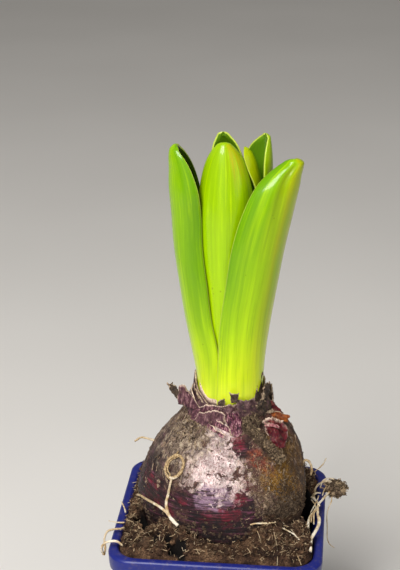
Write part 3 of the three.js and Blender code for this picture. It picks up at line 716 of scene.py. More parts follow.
def papery(name, dark, middle, light, fold, warm=None, gloss=0.5):
    """Dry scale with fibres along it; scale_hue turns it to the fold colours, and below 0 to the warm one."""
    paper = Finish(name, specular_ior_level=0.3)
    place = paper.place()
    hue = paper.attribute("scale_hue")
    fibres = paper.noise(paper.place(scale=(1, 1, 0.2)), 1.5, detail=8, roughness=0.72)
    blotch = paper.noise(place, 0.6, detail=8, roughness=0.7)
    fine = paper.noise(place, 2.4, detail=6, roughness=0.8)
    colour = paper.ramp(blotch, (0.36, dark), (0.52, middle), (0.68, light))
    folds = paper.ramp(fibres, *zip((0.42, 0.52, 0.63), fold))
    colour = paper.blend(paper.step(hue, 0.0, 0.9), colour, folds)
    if warm:
        glow = paper.ramp(blotch, *zip((0.4, 0.62), warm))
        colour = paper.blend(paper.step(hue, 0.0, -0.6), colour, glow)
    grime = paper.step(paper.noise(place, 0.9, detail=9, roughness=0.78), 0.54, 0.6)
    torn = paper.times(paper.attribute("scale_edge"), paper.step(fibres, 0.4, 0.47, 0.25, 1.0))
    colour = paper.layers(
        colour,
        (paper.step(fibres, 0.56, 0.72, 0.0, 0.5), light),
        (paper.step(fine, 0.44, 0.34, 0.0, 0.75), (34, 20, 20)),
        (paper.times(grime, 0.6), paper.ramp(fine, (0.38, (62, 48, 38)), (0.6, (142, 118, 92)))),
        (torn, paper.ramp(fine, (0.38, (164, 126, 106)), (0.5, (238, 212, 190)))))
    normal = paper.relief(fibres, 0.7, 0.45)
    normal = paper.relief(blotch, 0.5, 0.5, normal)
    return paper.done(colour, gloss, normal)


def dried_root():
    root = Finish("dried_root", specular_ior_level=0.35)
    place = root.place()
    soft = root.noise(place, 0.28, detail=3)
    fine = root.noise(place, 2.2, detail=6, roughness=0.7)
    colour = root.ramp(soft, (0.34, (176, 142, 98)), (0.46, (212, 190, 152)), (0.58, (238, 226, 204)))
    tan = root.ramp(fine, (0.38, (110, 84, 54)), (0.5, (172, 142, 98)), (0.6, (220, 196, 154)))
    colour = root.layers(
        colour,
        (root.step(root.attribute("root_tan"), 0.0, 1.0), tan),
        (root.step(fine, 0.56, 0.7, 0.0, 0.7), (112, 78, 44)))
    return root.done(colour, 0.6, root.relief(fine, 0.5, 0.25))


# Pot: drawn up from its foot, rim stepped out, walls taken down inside

def pot(finish):
    choose()
    bpy.ops.mesh.primitive_plane_add(size=2 * (FOOT_HALF - EDGE))
    obj = bpy.context.object
    obj.name = obj.data.name = "nursery_pot"
    levels = [
        (FOOT_HALF - EDGE, 0),
        (FOOT_HALF, EDGE),
        (RIM_HALF - RIM_STEP, POT_HEIGHT - RIM_HEIGHT),
        (RIM_HALF - EDGE / 2, POT_HEIGHT - RIM_HEIGHT),
        (RIM_HALF, POT_HEIGHT - EDGE),
        (RIM_HALF - EDGE, POT_HEIGHT),
        (RIM_INNER_HALF + EDGE, POT_HEIGHT),
        (RIM_INNER_HALF, POT_HEIGHT - EDGE),
        (FOOT_INNER_HALF, POT_FLOOR),
    ]
    with editing(obj):
        corner = CORNER_SHARE * (FOOT_HALF - EDGE)
        bpy.ops.mesh.bevel(affect="VERTICES", offset=corner, segments=10, offset_type="OFFSET")
        bpy.ops.mesh.select_all(action="SELECT")
        for (half, z), (next_half, next_z) in zip(levels, levels[1:]):
            bpy.ops.mesh.extrude_region_move(TRANSFORM_OT_translate={"value": (0, 0, next_z - z)})
            share = next_half / half
            bpy.ops.transform.resize(value=(share, share, 1), center_override=(0, 0, next_z))
        bpy.ops.mesh.select_all(action="SELECT")
        bpy.ops.mesh.normals_make_consistent(inside=False)
    drains = []
    for x in (-DRAIN_OFFSET, DRAIN_OFFSET):
        for y in (-DRAIN_OFFSET, DRAIN_OFFSET):
            choose()
            bpy.ops.mesh.primitive_cylinder_add(
                vertices=32, radius=DRAIN_RADIUS, depth=POT_FLOOR * 4, location=(x, y, 0))
            choose(bpy.context.object)
            bpy.ops.object.transform_apply(location=True)
            drains.append(bpy.context.object)
    drill = joined("drains", drains)
    worked(obj, "BOOLEAN", operation="DIFFERENCE", object=drill, solver="EXACT")
    bpy.data.objects.remove(drill)
    worked(obj, "BEVEL", width=0.35, segments=3, limit_method="ANGLE", angle_limit=math.radians(32))
    choose(obj)
    bpy.ops.object.shade_smooth_by_angle(angle=math.radians(40))
    return set_down(obj, ["pot"], [finish], POT_FRAME)


# Bulb: a turned body, lumpy, with a socket in its neck

SKIN_SHARE = 0.88  # share of the grid's length that the outside takes
SOCKET = [
    BULB_PROFILE[-1], (SOCKET_RADIUS + 0.2, NECK_TOP + 0.1), (SOCKET_RADIUS, NECK_FLOOR + 1), (8, NECK_FLOOR),
    (0, NECK_FLOOR),
]
SKIN_RELIEF = ((5.5, 0.7), (1.5, 0.4), (0.5, 0.22))  # size and depth of its lumps, pits and grain
CRUST_RELIEF = (2.3, 1.9)
CRUST_AZIMUTH = -50  # middle of the crust of dirt on the left shoulder
BARE_BASE = 5  # the skin has no lumps within this radius


def bulb(finish):
    radii, levels = zip(*BULB_PROFILE)

    def place(u, v):
        if v <= SKIN_SHARE:
            radius, z = (smooth(values, v / SKIN_SHARE) for values in (radii, levels))
        else:
            down = (v - SKIN_SHARE) / (1 - SKIN_SHARE) * (len(SOCKET) - 1)
            k = min(int(down), len(SOCKET) - 2)
            radius, z = (mix(a, b, down - k) for a, b in zip(SOCKET[k], SOCKET[k + 1]))
        if v <= 0 or v >= 1:
            radius = 0
        if radius > BARE_BASE and v < SKIN_SHARE:
            radius += bulb_lumps(u * 360, z)
        return toward(u * 360, max(radius, 0), neck_shift(z), 0, z)

    def on_skin(x, y, z):
        return 1 if math.hypot(x - neck_shift(z), y) > NECK_RADIUS else 0

    def on_crust(x, y, z):
        turn = abs(azimuth_of(x - neck_shift(z), y) - CRUST_AZIMUTH)
        return ease(turn, 44, 24) * ease(z, 14, 20) * ease(z, 32.5, 30)

    def pressed(size, depth, group, level=0.5):
        relief.noise_scale = size
        worked(obj, "DISPLACE", texture=relief, strength=depth, mid_level=level, vertex_group=group,
               texture_coords="LOCAL")

    obj = closed_up(shaped_grid("bulb_body", 200, 150, place))
    relief = bpy.data.textures.new("skin_relief", "CLOUDS")
    relief.noise_depth = 3
    weighted(obj, "skin", on_skin)
    for size, depth in SKIN_RELIEF:
        pressed(size, depth, "skin")
    weighted(obj, "crust", on_crust)
    pressed(*CRUST_RELIEF, "crust", 0.45)
    return set_down(smoothed(obj), ["bulb"], [finish])


# Leaves: each is a stack of level arcs round its own hollow.
# A row is height, middle of the arc (x, y), its radius, and the azimuths where it starts and ends.
# Tuck, row by row, is how far the margin where it ends is pushed back against the blade behind.
LEAVES = {
    "leaf_left": {"thick": 1.6, "warmth_and_bounce": 0.0, "deep_and_shade_side": 1.0, "dome": 0.3, "shade": 0.8,
                  "tuck": [1.0, 1.15, 1.6, 2.8, 3.3, 3.9, 3.4, 1.5, 0.3], "rows": [
        (30.5, 1.5, 0, 11.2, -188, -23.5),
        (42, 1.6, 0, 11.3, -187, -22.5),
        (54, -0.3, 0, 11.4, -186, -11.5),
        (66, -2.8, 0, 11.2, -185, -10.5),
        (78, -4.8, 0, 10.9, -184, -8),
        (90, -6.7, 0, 10.5, -184, -6),
        (101, -8.2, 0.2, 9.9, -183, 0),
        (109.3, -9.9, 0.4, 9.0, -184, 5),
        (115.6, -11.8, 0.6, 7.1, -184, 6),
        (119.8, -13.6, 0.4, 5.3, -182, 4),
        (122.3, -15.0, 0.2, 3.5, -178, -4),
    ]},
    "leaf_right": {"thick": 1.6, "warmth_and_bounce": 0.9, "deep_and_shade_side": -1.0, "crease": 0.43, "dome": 0.2, "rows": [
        (30.5, 1.5, 0, 11.2, -24.4, 104),
        (42, 1.5, 0, 11.2, -24.4, 101),
        (54, 2.0, 0, 11.6, -24.5, 96),
        (66, 3.2, -0.1, 12.0, -27, 93),
        (78, 4.9, -0.3, 12.3, -27, 93),
        (90, 6.8, -0.5, 12.4, -28, 96),
        (99, 9.0, -0.9, 11.9, -30, 98),
        (106, 11.5, -1.5, 10.7, -34, 98),
        (111.3, 14.2, -2.2, 9.0, -42, 96),
        (115.2, 17.0, -3.0, 6.7, -54, 98),
        (117.8, 19.3, -3.6, 4.9, -64, 108),
        (119.2, 20.6, -4.0, 3.6, -74, 120),
    ]},
    "leaf_back_right": {"thick": 1.5, "warmth_and_bounce": 0.5, "rows": [
        (30.5, 1.5, 0, 11.2, 108, 168),
        (42, 1.6, 0, 11.2, 107, 168),
        (54, 2.3, 0.5, 10.9, 104, 169),
        (66, 3.2, 1.0, 10.2, 97, 170),
        (78, 4.4, 1.6, 9.3, 84, 172),
        (90, 5.6, 2.1, 8.5, 66, 176),
        (101, 6.8, 2.6, 7.7, 46, 190),
        (110, 7.7, 3.0, 7.1, 38, 200),
        (117, 8.5, 3.2, 6.2, 33, 206),
        (121.4, 9.5, 3.6, 4.9, 34, 202),
        (123.9, 10.7, 4.0, 3.4, 38, 194),
        (125.2, 11.6, 4.3, 2.3, 42, 186),
    ]},
    "leaf_front": {"thick": 1.4, "warmth_and_bounce": 0.1, "deep_and_shade_side": 0.2, "blush": 0.76, "dome": 0.15, "rows": [
        (30.5, 1.5, 0, 9.2, -86, 71),
        (45, 1.4, 0, 9.2, -87, 71),
        (60, 1.0, 0, 9.2, -88, 72),
        (75, 0.6, -0.1, 9.3, -90, 73),
        (90, 0.1, -0.3, 9.4, -92, 74),
        (103, 0, -0.3, 9.3, -92, 75),
        (111, -0.2, -0.2, 8.3, -92, 77),
        (117.6, -0.6, -0.3, 6.5, -90, 82),
        (121.8, -0.9, -0.7, 4.4, -86, 84),
        (124.1, -1.1, -1.2, 2.5, -80, 84),
    ]},
    "leaf_inner_right": {"thick": 1.3, "warmth_and_bounce": 0.7, "rows": [
        (30.5, 1.5, 0, 9.2, 75, 127),
        (45, 1.6, 0.1, 9.2, 75, 127),
        (60, 1.9, 0.4, 9.2, 75, 127),
        (75, 2.3, 0.9, 9.0, 73, 127),
        (90, 2.9, 1.5, 8.6, 69, 125),
        (101, 3.4, 2.0, 8.2, 61, 124),
        (110, 3.9, 2.2, 7.4, 46, 123),
        (116.2, 3.9, 2.2, 5.9, 29, 120),
        (119.9, 4.0, 2.1, 4.3, 20, 116),
        (121.5, 4.5, 2.0, 2.7, 18, 110),
    ]},
    "leaf_back": {"thick": 1.3, "warmth_and_bounce": 0.2, "rows": [
        (30.5, 1.5, 0, 9.2, 132, 270),
        (45, 1.5, 0.1, 9.1, 132, 269),
        (60, 1.4, 0.3, 8.9, 131, 268),
        (75, 1.1, 0.7, 8.6, 128, 265),
        (90, 0.8, 1.1, 8.2, 120, 262),
        (101, 0.5, 1.5, 7.9, 108, 260),
        (110, 0.3, 1.6, 7.2, 102, 258),
        (117.5, -0.1, 1.9, 5.8, 103, 257),
        (122.8, -0.7, 2.4, 4.1, 104, 252),
        (126.0, -1.4, 3.0, 2.2, 114, 232),
    ]},
}
LEAF_COLUMNS = 40
LEAF_ROWS = 130
MARGIN_THIN = 0.6  # share of its thickness that a blade loses at its margins
THICKEST = 0.65  # most of its arc's radius that a blade's thickness takes
CREASE_HALF = 0.075  # half a crease's width as a share of the blade's
CREASE_DEPTH = 0.8
BLUSH_HALF = 0.14  # half a yellow blush's width, as the same share
TUCK_FROM = 0.62  # share of the blade's width where a tucked margin starts to bend back
TIP_ROWS = ((0.72, 0.22), (0.38, 0.36), (0.06, 0.4))  # share of the last radius, and rise by the same measure


def with_round_tip(rows):
    """The rows with a small dome above them, so that the blade ends in a blunt hood."""
    z, x, y, radius, start, end = rows[-1]
    middle = (start + end) / 2
    added = []
    for share, rise in TIP_ROWS:
        centre = toward(middle, radius * (1 - share) * 0.35, x, y)
        added.append((z + rise * radius, centre.x, centre.y, radius * share, start, end))
    return rows + added


def up_blade(v):
    """How far up its rows a grid line lies, the lines being closer together near the tip."""
    return 1 - (1 - clamp(v)) ** 1.25


def leaf(name, seed, outside, inside):
    shape = LEAVES[name]
    rows = with_round_tip(shape["rows"])
    thick = shape["thick"]
    crease = shape.get("crease")
    deep_and_shade_side = shape.get("deep_and_shade_side", 0)
    dome = shape.get("dome", 0)
    tuck = shape.get("tuck", [0])
    tuck = tuck + [0] * (len(rows) - len(tuck))
    columns = list(zip(*rows))

    def folded(u, v):
        """1 along the crease, where the blade has one."""
        if crease is None:
            return 0
        return hump(u, crease, CREASE_HALF) * between(v, 0.16, 0.55, 0.58, 0.8)

    def deepened_and_shaded(u, v):
        # A deeper green towards one margin, partly its own tone and partly painted shade.
        side = u if deep_and_shade_side > 0 else 1 - u
        return abs(deep_and_shade_side) * ease(side, 0.55, 0.92) * ease(v, 0.08, 0.3)

    def warmth_and_bounce_at(u, v):
        """Yellower tone and painted warm bounce light; a creased blade gets them beyond its crease only."""
        return shape["warmth_and_bounce"] * (1 if crease is None else ease(u, crease - 0.02, crease + 0.16))

    def blushed(u, v):
        middle = shape.get("blush")
        if middle is None:
            return 0
        return hump(u, middle, BLUSH_HALF) * between(v, 0.4, 0.56, 0.68, 0.85)

    def place(u, v):
        z, x, y, radius, start, end = (smooth(column, up_blade(v)) for column in columns)
        # A shallow waver keeps the blade from looking turned
        waver = 0.12 * math.sin(z * 0.13 + seed * 2 + u * 5) * between(v, 0.1, 0.3, 0.8, 1)
        z += dome * radius * (1 - (2 * u - 1) ** 2) * ease(v, 0.72, 0.95)
        y += smooth(tuck, up_blade(v)) * clamp((u - TUCK_FROM) / (1 - TUCK_FROM)) ** 2
        return toward(mix(start, end, u), radius + waver - CREASE_DEPTH * folded(u, v), x, y, z)

    obj = finished(shaped_grid(name + "_blade", LEAF_COLUMNS, LEAF_ROWS, place), outside, inside)
    width = obj.vertex_groups.new(name="thickness")
    for index, (u, v) in grid_places(obj).items():
        radius = smooth(columns[3], up_blade(v))
        depth = min(thick * (1 - MARGIN_THIN * abs(2 * u - 1) ** 4), THICKEST * radius)
        width.add([index], depth / thick, "REPLACE")
    painted(obj, "leaf_crease_shade", folded)
    painted(obj, "leaf_deep_and_shade", deepened_and_shaded)
    painted(obj, "leaf_warmth_and_bounce", warmth_and_bounce_at)
    painted(obj, "leaf_blush", blushed)
    worked(obj, "SOLIDIFY", thickness=thick, offset=-1, vertex_group="thickness", material_offset=1)
    painted(obj, "leaf_seed", seed)
    painted(obj, "leaf_shade", shape.get("shade", 0.0))
    return set_down(smoothed(obj), [name])


# Flower spike: a stalk and core with closed buds in rising turns

SPIKE_LEAN = (1.0, 0.6)
SPIKE_CORE = [(30.6, 4.0), (52, 3.5), (60, 2.7), (78, 2.8), (90, 2.0), (96, 0.8)]
BUD_LEVELS = 9
BUD_TURN = 34  # degrees from one level to the next
# From the lowest level to the highest: how many buds, height of their feet, lean in degrees, and size
BUD_COUNT = (6, 3)
BUD_FEET = (61, 89)
BUD_LEAN = (24, 10)
BUD_SIZE = (0.95, 0.6)
BUD_LENGTH = 7.5
BUD_RADII = (0.7, 1.7, 1.95, 1.5, 0.45)  # from foot to tip


def one_bud():
    """A closed bud, six-lobed, standing on the origin."""
    def place(u, v):
        radius = smooth(BUD_RADII, v) * (1 + 0.07 * math.cos(6 * math.tau * u))
        return toward(u * 360, radius, 0, 0, BUD_LENGTH * v)

    return shape_of(closed_up(shaped_grid("bud", 24, 8, place), 0.005))


def flower_spike(finish):
    heights, radii = zip(*SPIKE_CORE)

    def place(u, v):
        return toward(u * 360, smooth(radii, v), *SPIKE_LEAN, smooth(heights, v))

    core = closed_up(shaped_grid("spike_core", 24, 30, place), 0.005)
    bud = one_bud()
    buds = []
    for level in range(BUD_LEVELS):
        share = level / (BUD_LEVELS - 1)
        around = round(mix(*BUD_COUNT, share))
        for i in range(around):
            azimuth = i / around * 360 + level * BUD_TURN
            lean = Matrix.Rotation(math.radians(mix(*BUD_LEAN, share)), 4, toward(azimuth + 90, 1))
            foot = toward(azimuth, 1.3, *SPIKE_LEAN, mix(*BUD_FEET, share))
            buds.append((bud, Matrix.Translation(foot) @ lean @ Matrix.Scale(mix(*BUD_SIZE, share), 4), 0.5))
    obj = joined("closed_spike", [core, scattered("buds", buds)])
    return set_down(smoothed(obj), ["flower_spike"], [finish])


# Papery scales: thin torn sheets that stand round the neck or lie on the bulb's shoulder

def ragged(u, seed, depth):
    """A torn edge's ups and downs along u."""
    broad = noise.noise(Vector((u * 4, seed * 3.1, 0)))
    sharp = abs(noise.noise(Vector((u * 11, seed * 1.3, 5))))
    return depth * (broad + 1.1 * sharp + 0.4 * noise.noise(Vector((u * 27, seed, 9))) - 0.3)


def hand_placed(point, lift=0.0):
    """A list is a point as it is; a tuple lies over the bulb's skin by its own lift or the given one."""
    if isinstance(point, list):
        return Vector(point)
    return on_bulb(*point) if len(point) == 3 else on_bulb(*point, lift)


def torn_sheet(finishes, rows, hue, seed, tear=0.6, thick=0.35, ripple=0.4, edge=0.0, band=0.1,
               columns=26, lines=20):
    """A thin rippled sheet through the rows of points, with ragged edges and its second finish inside."""
    rows = [[hand_placed(point) for point in row] for row in rows]

    def at(u, v):
        return smooth([smooth(row, u) for row in rows], v)

    def place(u, v):
        up = (at(u, 1) - at(u, 0)).normalized()
        across = (at(1, v) - at(0, v)).normalized()
        wave = noise.noise(Vector((u * 4, v * 3, seed * 1.7)))
        wave += 0.4 * noise.noise(Vector((u * 12, v * 9, seed)))
        spot = at(u, v) + across.cross(up) * ripple * wave * (0.4 + 0.6 * v)
        spot += up * ragged(u, seed, tear) * v * v
        return spot + across * ragged(v, seed + 40, tear) * (2 * u - 1) ** 3

    def near_edge(u, v):
        sides = ease(abs(2 * u - 1), 0.9, 0.98) * ease(v, 0.1, 0.3)
        return edge * max(ease(v, 1 - 1.4 * band, 1 - 0.4 * band), sides)

    obj = finished(shaped_grid("scale", columns, lines, place), *finishes)
    painted(obj, "scale_edge", near_edge)
    worked(obj, "SOLIDIFY", thickness=thick, offset=-1, material_offset=1, material_offset_rim=1)
    return painted(obj, "scale_hue", hue)


# Scales given as rows of points from left to right with the foot first.
# A list is a point as it is, a tuple is an azimuth, a height and how far it stands off the bulb.
NECK_SCALES = [
    # inner sheath that hugs the leaves on the left, with a broad pale band along its edge
    {"rows": [
        [(-104, 34, -1.3), (-70, 34, -1.3), (-44, 34, -1.3), (-20, 34.4, -1.3)],
        [(-104, 40, -1.2), (-66, 39, -1.0), (-44, 37, -0.9), (-20, 36.2, -1.1)],
        [(-104, 46, -1.3), (-70, 43.8, -1.2), (-61, 41, -1.1), (-43, 38.6, -1.0), (-20, 37.3, -1.2)],
    ], "hue": 0.0, "tear": 0.9, "ripple": 0.25, "edge": 1.0, "band": 0.4},
    # brown layer between it and the torn line
    {"rows": [
        [(-92, 33, -0.2), (-70, 33, -0.2), (-48, 33, -0.2)],
        [(-92, 38, -0.1), (-72, 39, 0.2), (-50, 36.2, 0.0)],
        [(-92, 41.5, 0.0), (-76, 40.2, 0.4), (-60, 37.8, 0.4), (-50, 36.6, 0.0)],
    ], "hue": -0.4, "tear": 1.6, "edge": 0.4},
    # outer layer on the left, its edge a pale torn line
    {"rows": [
        [(-86, 31, 0.2), (-64, 30.4, 0.2), (-44, 30, 0.2), (-24, 30.6, 0.2), (-8, 31, 0.2)],
        [(-84, 35.4, 1.1), (-62, 34.4, 1.2), (-46, 33.2, 0.9), (-26, 34.4, 0.8), (-10, 34.6, 0.8)],
        [(-82, 39.4, 1.4), (-68, 38.6, 1.5), (-52, 35.0, 1.2), (-40, 36.2, 1.0), (-26, 37.4, 0.8),
         (-12, 37.2, 0.8)],
    ], "hue": 0.5, "tear": 0.6, "thick": 0.45, "edge": 1.0},
    # second torn line below it
    {"rows": [
        [(-52, 30.2, 0.3), (-36, 30, 0.3), (-20, 31, 0.3), (-8, 31.6, 0.3)],
        [(-48, 32.8, 1.5), (-34, 34.4, 1.7), (-22, 35.5, 1.6), (-8, 35.0, 1.5)],
    ], "hue": 0.35, "tear": 0.7, "thick": 0.4, "edge": 0.9},
    # purple pointed flap that swings out on the left and faces forward, with a dark scrap beyond it
    {"rows": [
        [[-16.2, -4.5, 34.0], [-14, -6, 34.2], [-10.9, -7.8, 33.8], [-8.6, -9.3, 34.8]],
        [[-16.3, -4.5, 37.5], [-14.5, -5.6, 37.8], [-12.9, -6.4, 38.0], [-11.4, -6.8, 38.3]],
        [[-15.6, -4.5, 40.8], [-15.1, -4.8, 41.6], [-14.7, -5.0, 41.8], [-14.1, -5.1, 41.2]],
    ], "hue": 0.45, "tear": 0.5, "ripple": 0.7, "edge": 0.6},
    {"rows": [
        [[-16.2, -4.2, 35.8], [-14.8, -4.4, 36.8]],
        [[-18.2, -3.0, 38.5], [-17.0, -3.0, 39.3]],
        [[-19.8, -2.4, 40.6], [-18.9, -2.4, 40.3], [-18.2, -2.4, 41.6]],
    ], "hue": -1, "tear": 0.7},
    # dusky wrinkled scale in front, right of the middle
    {"rows": [
        [(11, 33.8, 0.9), (21, 32.4, 1.1), (32, 32.8, 1.1), (41, 34, 0.9)],
        [(9, 37, 1.1), (20, 36.4, 1.6), (31, 36.4, 1.4), (42, 36.6, 0.8)],
        [(8, 39.6, 0.1), (19, 39.2, 0.3), (30, 39.0, 0.2), (40, 38.7, -0.1)],
    ], "hue": 0.0, "tear": 0.5, "ripple": 0.9, "edge": 0.15},
    # crumpled purple folds left of it
    {"rows": [
        [(-12, 33, 0.8), (-2, 32.8, 0.9), (12, 33, 0.8)],
        [(-14, 35.6, 1.0), (-2, 35.4, 1.7), (13, 35.8, 1.2)],
        [(-16, 37.4, 0.2), (-3, 38, 0.6), (12, 38.6, 0.3)],
    ], "hue": 0.3, "tear": 0.9, "ripple": 1.4, "edge": 0.5},
    # magenta scale that slants down to the right
    {"rows": [
        [(2.5, 28.4, 0.4), (7, 28.0, 0.6), (11.5, 28.6, 0.4)],
        [(-4, 31.4, 0.8), (4, 31.2, 1.4), (15, 31.8, 1.0)],
        [(-13, 34.6, 0.9), (-3, 35.8, 1.5), (9, 35.2, 1.1)],
    ], "hue": 1.0, "tear": 0.7, "ripple": 1.3, "edge": 0.3},
    # narrow folds beside it
    {"rows": [
        [(-31, 32.2, 0.3), (-16, 30.4, 0.4), (-1, 29.2, 0.3)],
        [(-29, 33.2, 0.8), (-15, 31.8, 1.1), (-2, 30.6, 0.8)],
    ], "hue": 0.9, "tear": 0.5, "edge": 1.0},
    {"rows": [
        [(-34, 30.6, 0.2), (-20, 28.6, 0.3), (-8, 27.6, 0.2)],
        [(-32, 31.6, 0.6), (-19, 29.8, 0.8), (-7, 28.6, 0.5)],
    ], "hue": 1.0, "tear": 0.5, "edge": 1.0},
    # dark nibs in front of the leaves
    {"rows": [
        [[1.6, -12.9, 38.6], [3.8, -12.9, 38.8]],
        [[1.5, -12.9, 40.4], [3.9, -12.8, 40.6]],
        [[0.9, -13.0, 42.2], [2.4, -13.4, 42.0], [4.3, -12.8, 42.3]],
    ], "hue": -0.5, "tear": 0.3, "edge": 0.3},
    {"rows": [
        [[-3.1, -12.6, 37.4], [-0.4, -12.9, 37.8]],
        [[-2.7, -12.7, 38.8], [-0.6, -12.9, 40.1]],
    ], "hue": -0.6, "tear": 0.3},
    # dark ragged pieces right of the leaves
    {"rows": [
        [(46, 33, 0.0), (58, 33, 0.0), (70, 33, 0.0)],
        [(45, 38.5, -0.9), (58, 40, -0.9), (70, 41.5, -0.9)],
        [(52, 41, -1.2), (60, 44.4, -1.1), (69, 45.4, -0.8)],
    ], "hue": -1, "tear": 1.6, "ripple": 0.8},
    {"rows": [
        [(60, 32, 0.2), (76, 31.6, 0.2), (92, 31.6, 0.2)],
        [(62, 36.5, 0.4), (77, 37, 1.0), (92, 36.5, 0.8)],
        [(64, 40.6, 0.6), (74, 42.4, 1.0), (84, 39, 1.6)],
    ], "hue": -0.8, "tear": 1.6, "ripple": 0.9},
    {"rows": [
        [(41, 32.4, 0.2), (50, 32, 0.4), (59, 32, 0.4)],
        [(42, 36.6, 0.6), (50, 37.8, 1.0), (59, 36.6, 1.2)],
    ], "hue": -0.9, "tear": 1.2, "ripple": 0.8},
    # cream chips there, inside out
    {"rows": [
        [[15.8, -5.4, 31.6], [13.2, -6.9, 31.2]],
        [[16.0, -5.2, 32.7], [13.4, -6.7, 32.2]],
    ], "hue": 0.5, "tear": 0.3},
    {"rows": [
        [(58, 37.4, 0.9), (52, 37.2, 0.9)],
        [(58, 39.4, 0.9), (53, 39.6, 0.9)],
    ], "hue": 0.5, "tear": 0.3},
    # round the right and the back
    {"rows": [
        [(84, 31, 0.2), (98, 31, 0.2), (112, 31, 0.2)],
        [(84, 36, 2.2), (98, 38.4, 2.2), (112, 35, 2.0)],
    ], "hue": 0.4, "tear": 1.2},
    {"rows": [
        [(112, 32, 0.1), (144, 31, 0.1), (176, 32, 0.1)],
        [(112, 37, 1.2), (128, 40.6, 1.6), (144, 38.4, 2), (160, 42, 1.6), (176, 38, 1.2)],
    ], "hue": 0.3, "tear": 1.4},
    {"rows": [
        [(170, 31, 0.1), (203, 31.5, 0.1), (236, 31, 0.1)],
        [(170, 37, 1.6), (187, 39, 2.2), (203, 41.4, 2.2), (220, 39, 1.6), (236, 37, 1.4)],
    ], "hue": 0.2, "tear": 1.4},
    {"rows": [
        [(-150, 30, 0.1), (-123, 31, 0.1), (-96, 30, 0.1)],
        [(-150, 35, 1.4), (-132, 37.4, 1.9), (-114, 36.4, 1.7), (-96, 35, 1.2)],
    ], "hue": 0.4, "tear": 1.4},
]
COLLAR_TOP = [37.2, 36.8, 37, 41, 41, 39.5, 38, 38.6, 41, 43.5, 38.6, 36.8]  # height every 30 degrees


def tunic_collar(outer, inner):
    def ring(u, v):
        around = Vector((math.cos(u * math.tau), math.sin(u * math.tau), 0))
        tear = 0.8 * noise.noise(around * 2.5) + 0.7 * abs(noise.noise(around * 7))
        z = mix(NECK_TOP - 0.6, smooth(COLLAR_TOP, u, True) + tear - 0.2, v)
        closer = 0.9 * ease(v, 0.3, 1)
        return on_bulb(u * 360, z, 0.7 - closer + 0.35 * noise.noise(around * 3 + Vector((0, 0, v * 2))))

    sleeve = finished(shaped_grid("collar_ring", 200, 16, ring), outer, inner)
    with editing(sleeve):
        bpy.ops.mesh.remove_doubles(threshold=0.005)
    worked(sleeve, "SOLIDIFY", thickness=0.6, offset=-1, material_offset=1, material_offset_rim=1)
    pieces = [painted(sleeve, "scale_hue", 0.1)]
    for seed, scale in enumerate(NECK_SCALES):
        pieces.append(torn_sheet((outer, inner), seed=seed, **scale))
    obj = joined("torn_collar", pieces)
    return set_down(smoothed(obj), ["tunic_collar"])


FLAKE_COUNT = 110
SILVER_FRONT = (-34, 26)  # azimuths that stay free of flakes below this height
SILVER_TOP = 27


def skin_flakes(outer, inner):
    """Loose chips of outer skin over the shoulder, fewer lower down and hardly any on the silver front."""
    draw = random.Random(23)
    pieces = []
    while len(pieces) < FLAKE_COUNT:
        azimuth = draw.uniform(-180, 180) if draw.random() < 0.6 else draw.gauss(-50, 20)
        z = mix(31.5, 6, draw.random() ** 1.5)
        if SILVER_FRONT[0] < azimuth < SILVER_FRONT[1] and z < SILVER_TOP:
            continue
        width = draw.uniform(1.0, 6.5)
        tall = draw.uniform(0.5, 2.0)
        slant = draw.uniform(-0.9, 0.9)
        lift = draw.uniform(0.1, 0.5)
        left, right = azimuth - width / 2, azimuth + width / 2
        foot = [(left, z - slant, 0.05), (azimuth, z - 0.2, 0.05), (right, z + slant, 0.05)]
        left, right = azimuth - width / 3, azimuth + width / 3
        lip = [(left, z - slant + tall, lift), (right, z + slant + tall * 0.7, lift)]
        pieces.append(torn_sheet((outer, inner), [foot, lip], draw.uniform(0, 0.3), len(pieces) + 60,
                                 tear=0.8, thick=0.18, ripple=0.3, columns=9, lines=6))
    obj = joined("skin_flakes", pieces)
    return set_down(smoothed(obj), [])


# Crimson scale on the right shoulder, with what curls away from it, in rows of points as for the collar
RED_SCALES = [
    # crumpled crimson scale itself
    {"rows": [
        [(44, 24.6, 0.3), (48, 22.4, 0.9), (54, 21.6, 1.4), (61, 23.0, 1.2)],
        [(42, 27.8, 0.6), (50, 26.6, 2.2), (58, 25.8, 1.0), (67, 25.0, 2.0)],
        [(41, 30.6, 0.8), (51, 31.0, 2.2), (62, 29.4, 1.6), (72, 27.4, 2.2)],
    ], "hue": 0.0, "tear": 0.8, "ripple": 1.7, "thick": 0.4, "edge": 0.9},
    # pale pink fold across its left side
    {"rows": [
        [(40, 29.2, 1.8), (47, 28.2, 2.6), (54, 27.0, 2.4)],
        [(40.5, 29.7, 2.2), (48, 28.7, 3.0), (55, 27.4, 2.8)],
        [(41, 30.1, 1.9), (48.5, 29.1, 2.7), (55.5, 27.9, 2.4)],
    ], "hue": 1.0, "tear": 0.4},
    # orange flap above it, lying out to the right
    {"rows": [
        [[12.6, -7.2, 30.0], [14.6, -6.6, 29.4], [17.4, -5.6, 28.2], [20.9, -4.4, 27.0]],
        [[12.8, -7.0, 31.0], [14.6, -6.4, 30.6], [17.2, -5.5, 29.8], [21.2, -4.6, 28.4]],
        [[13.0, -6.2, 31.8], [15.2, -5.4, 31.6], [18.6, -4.4, 31.0], [22.0, -4.0, 29.3]],
    ], "hue": -1, "tear": 0.6, "ripple": 0.6},
    # dark red point behind
    {"rows": [
        [[14.4, -3.6, 30.2], [17.4, -3.2, 29.8], [19.9, -2.6, 29.6]],
        [[14.6, -2.8, 34.6], [15.4, -2.6, 34.8], [16.3, -2.4, 33.8]],
    ], "hue": 0.0, "tear": 0.5, "edge": 0.2},
]


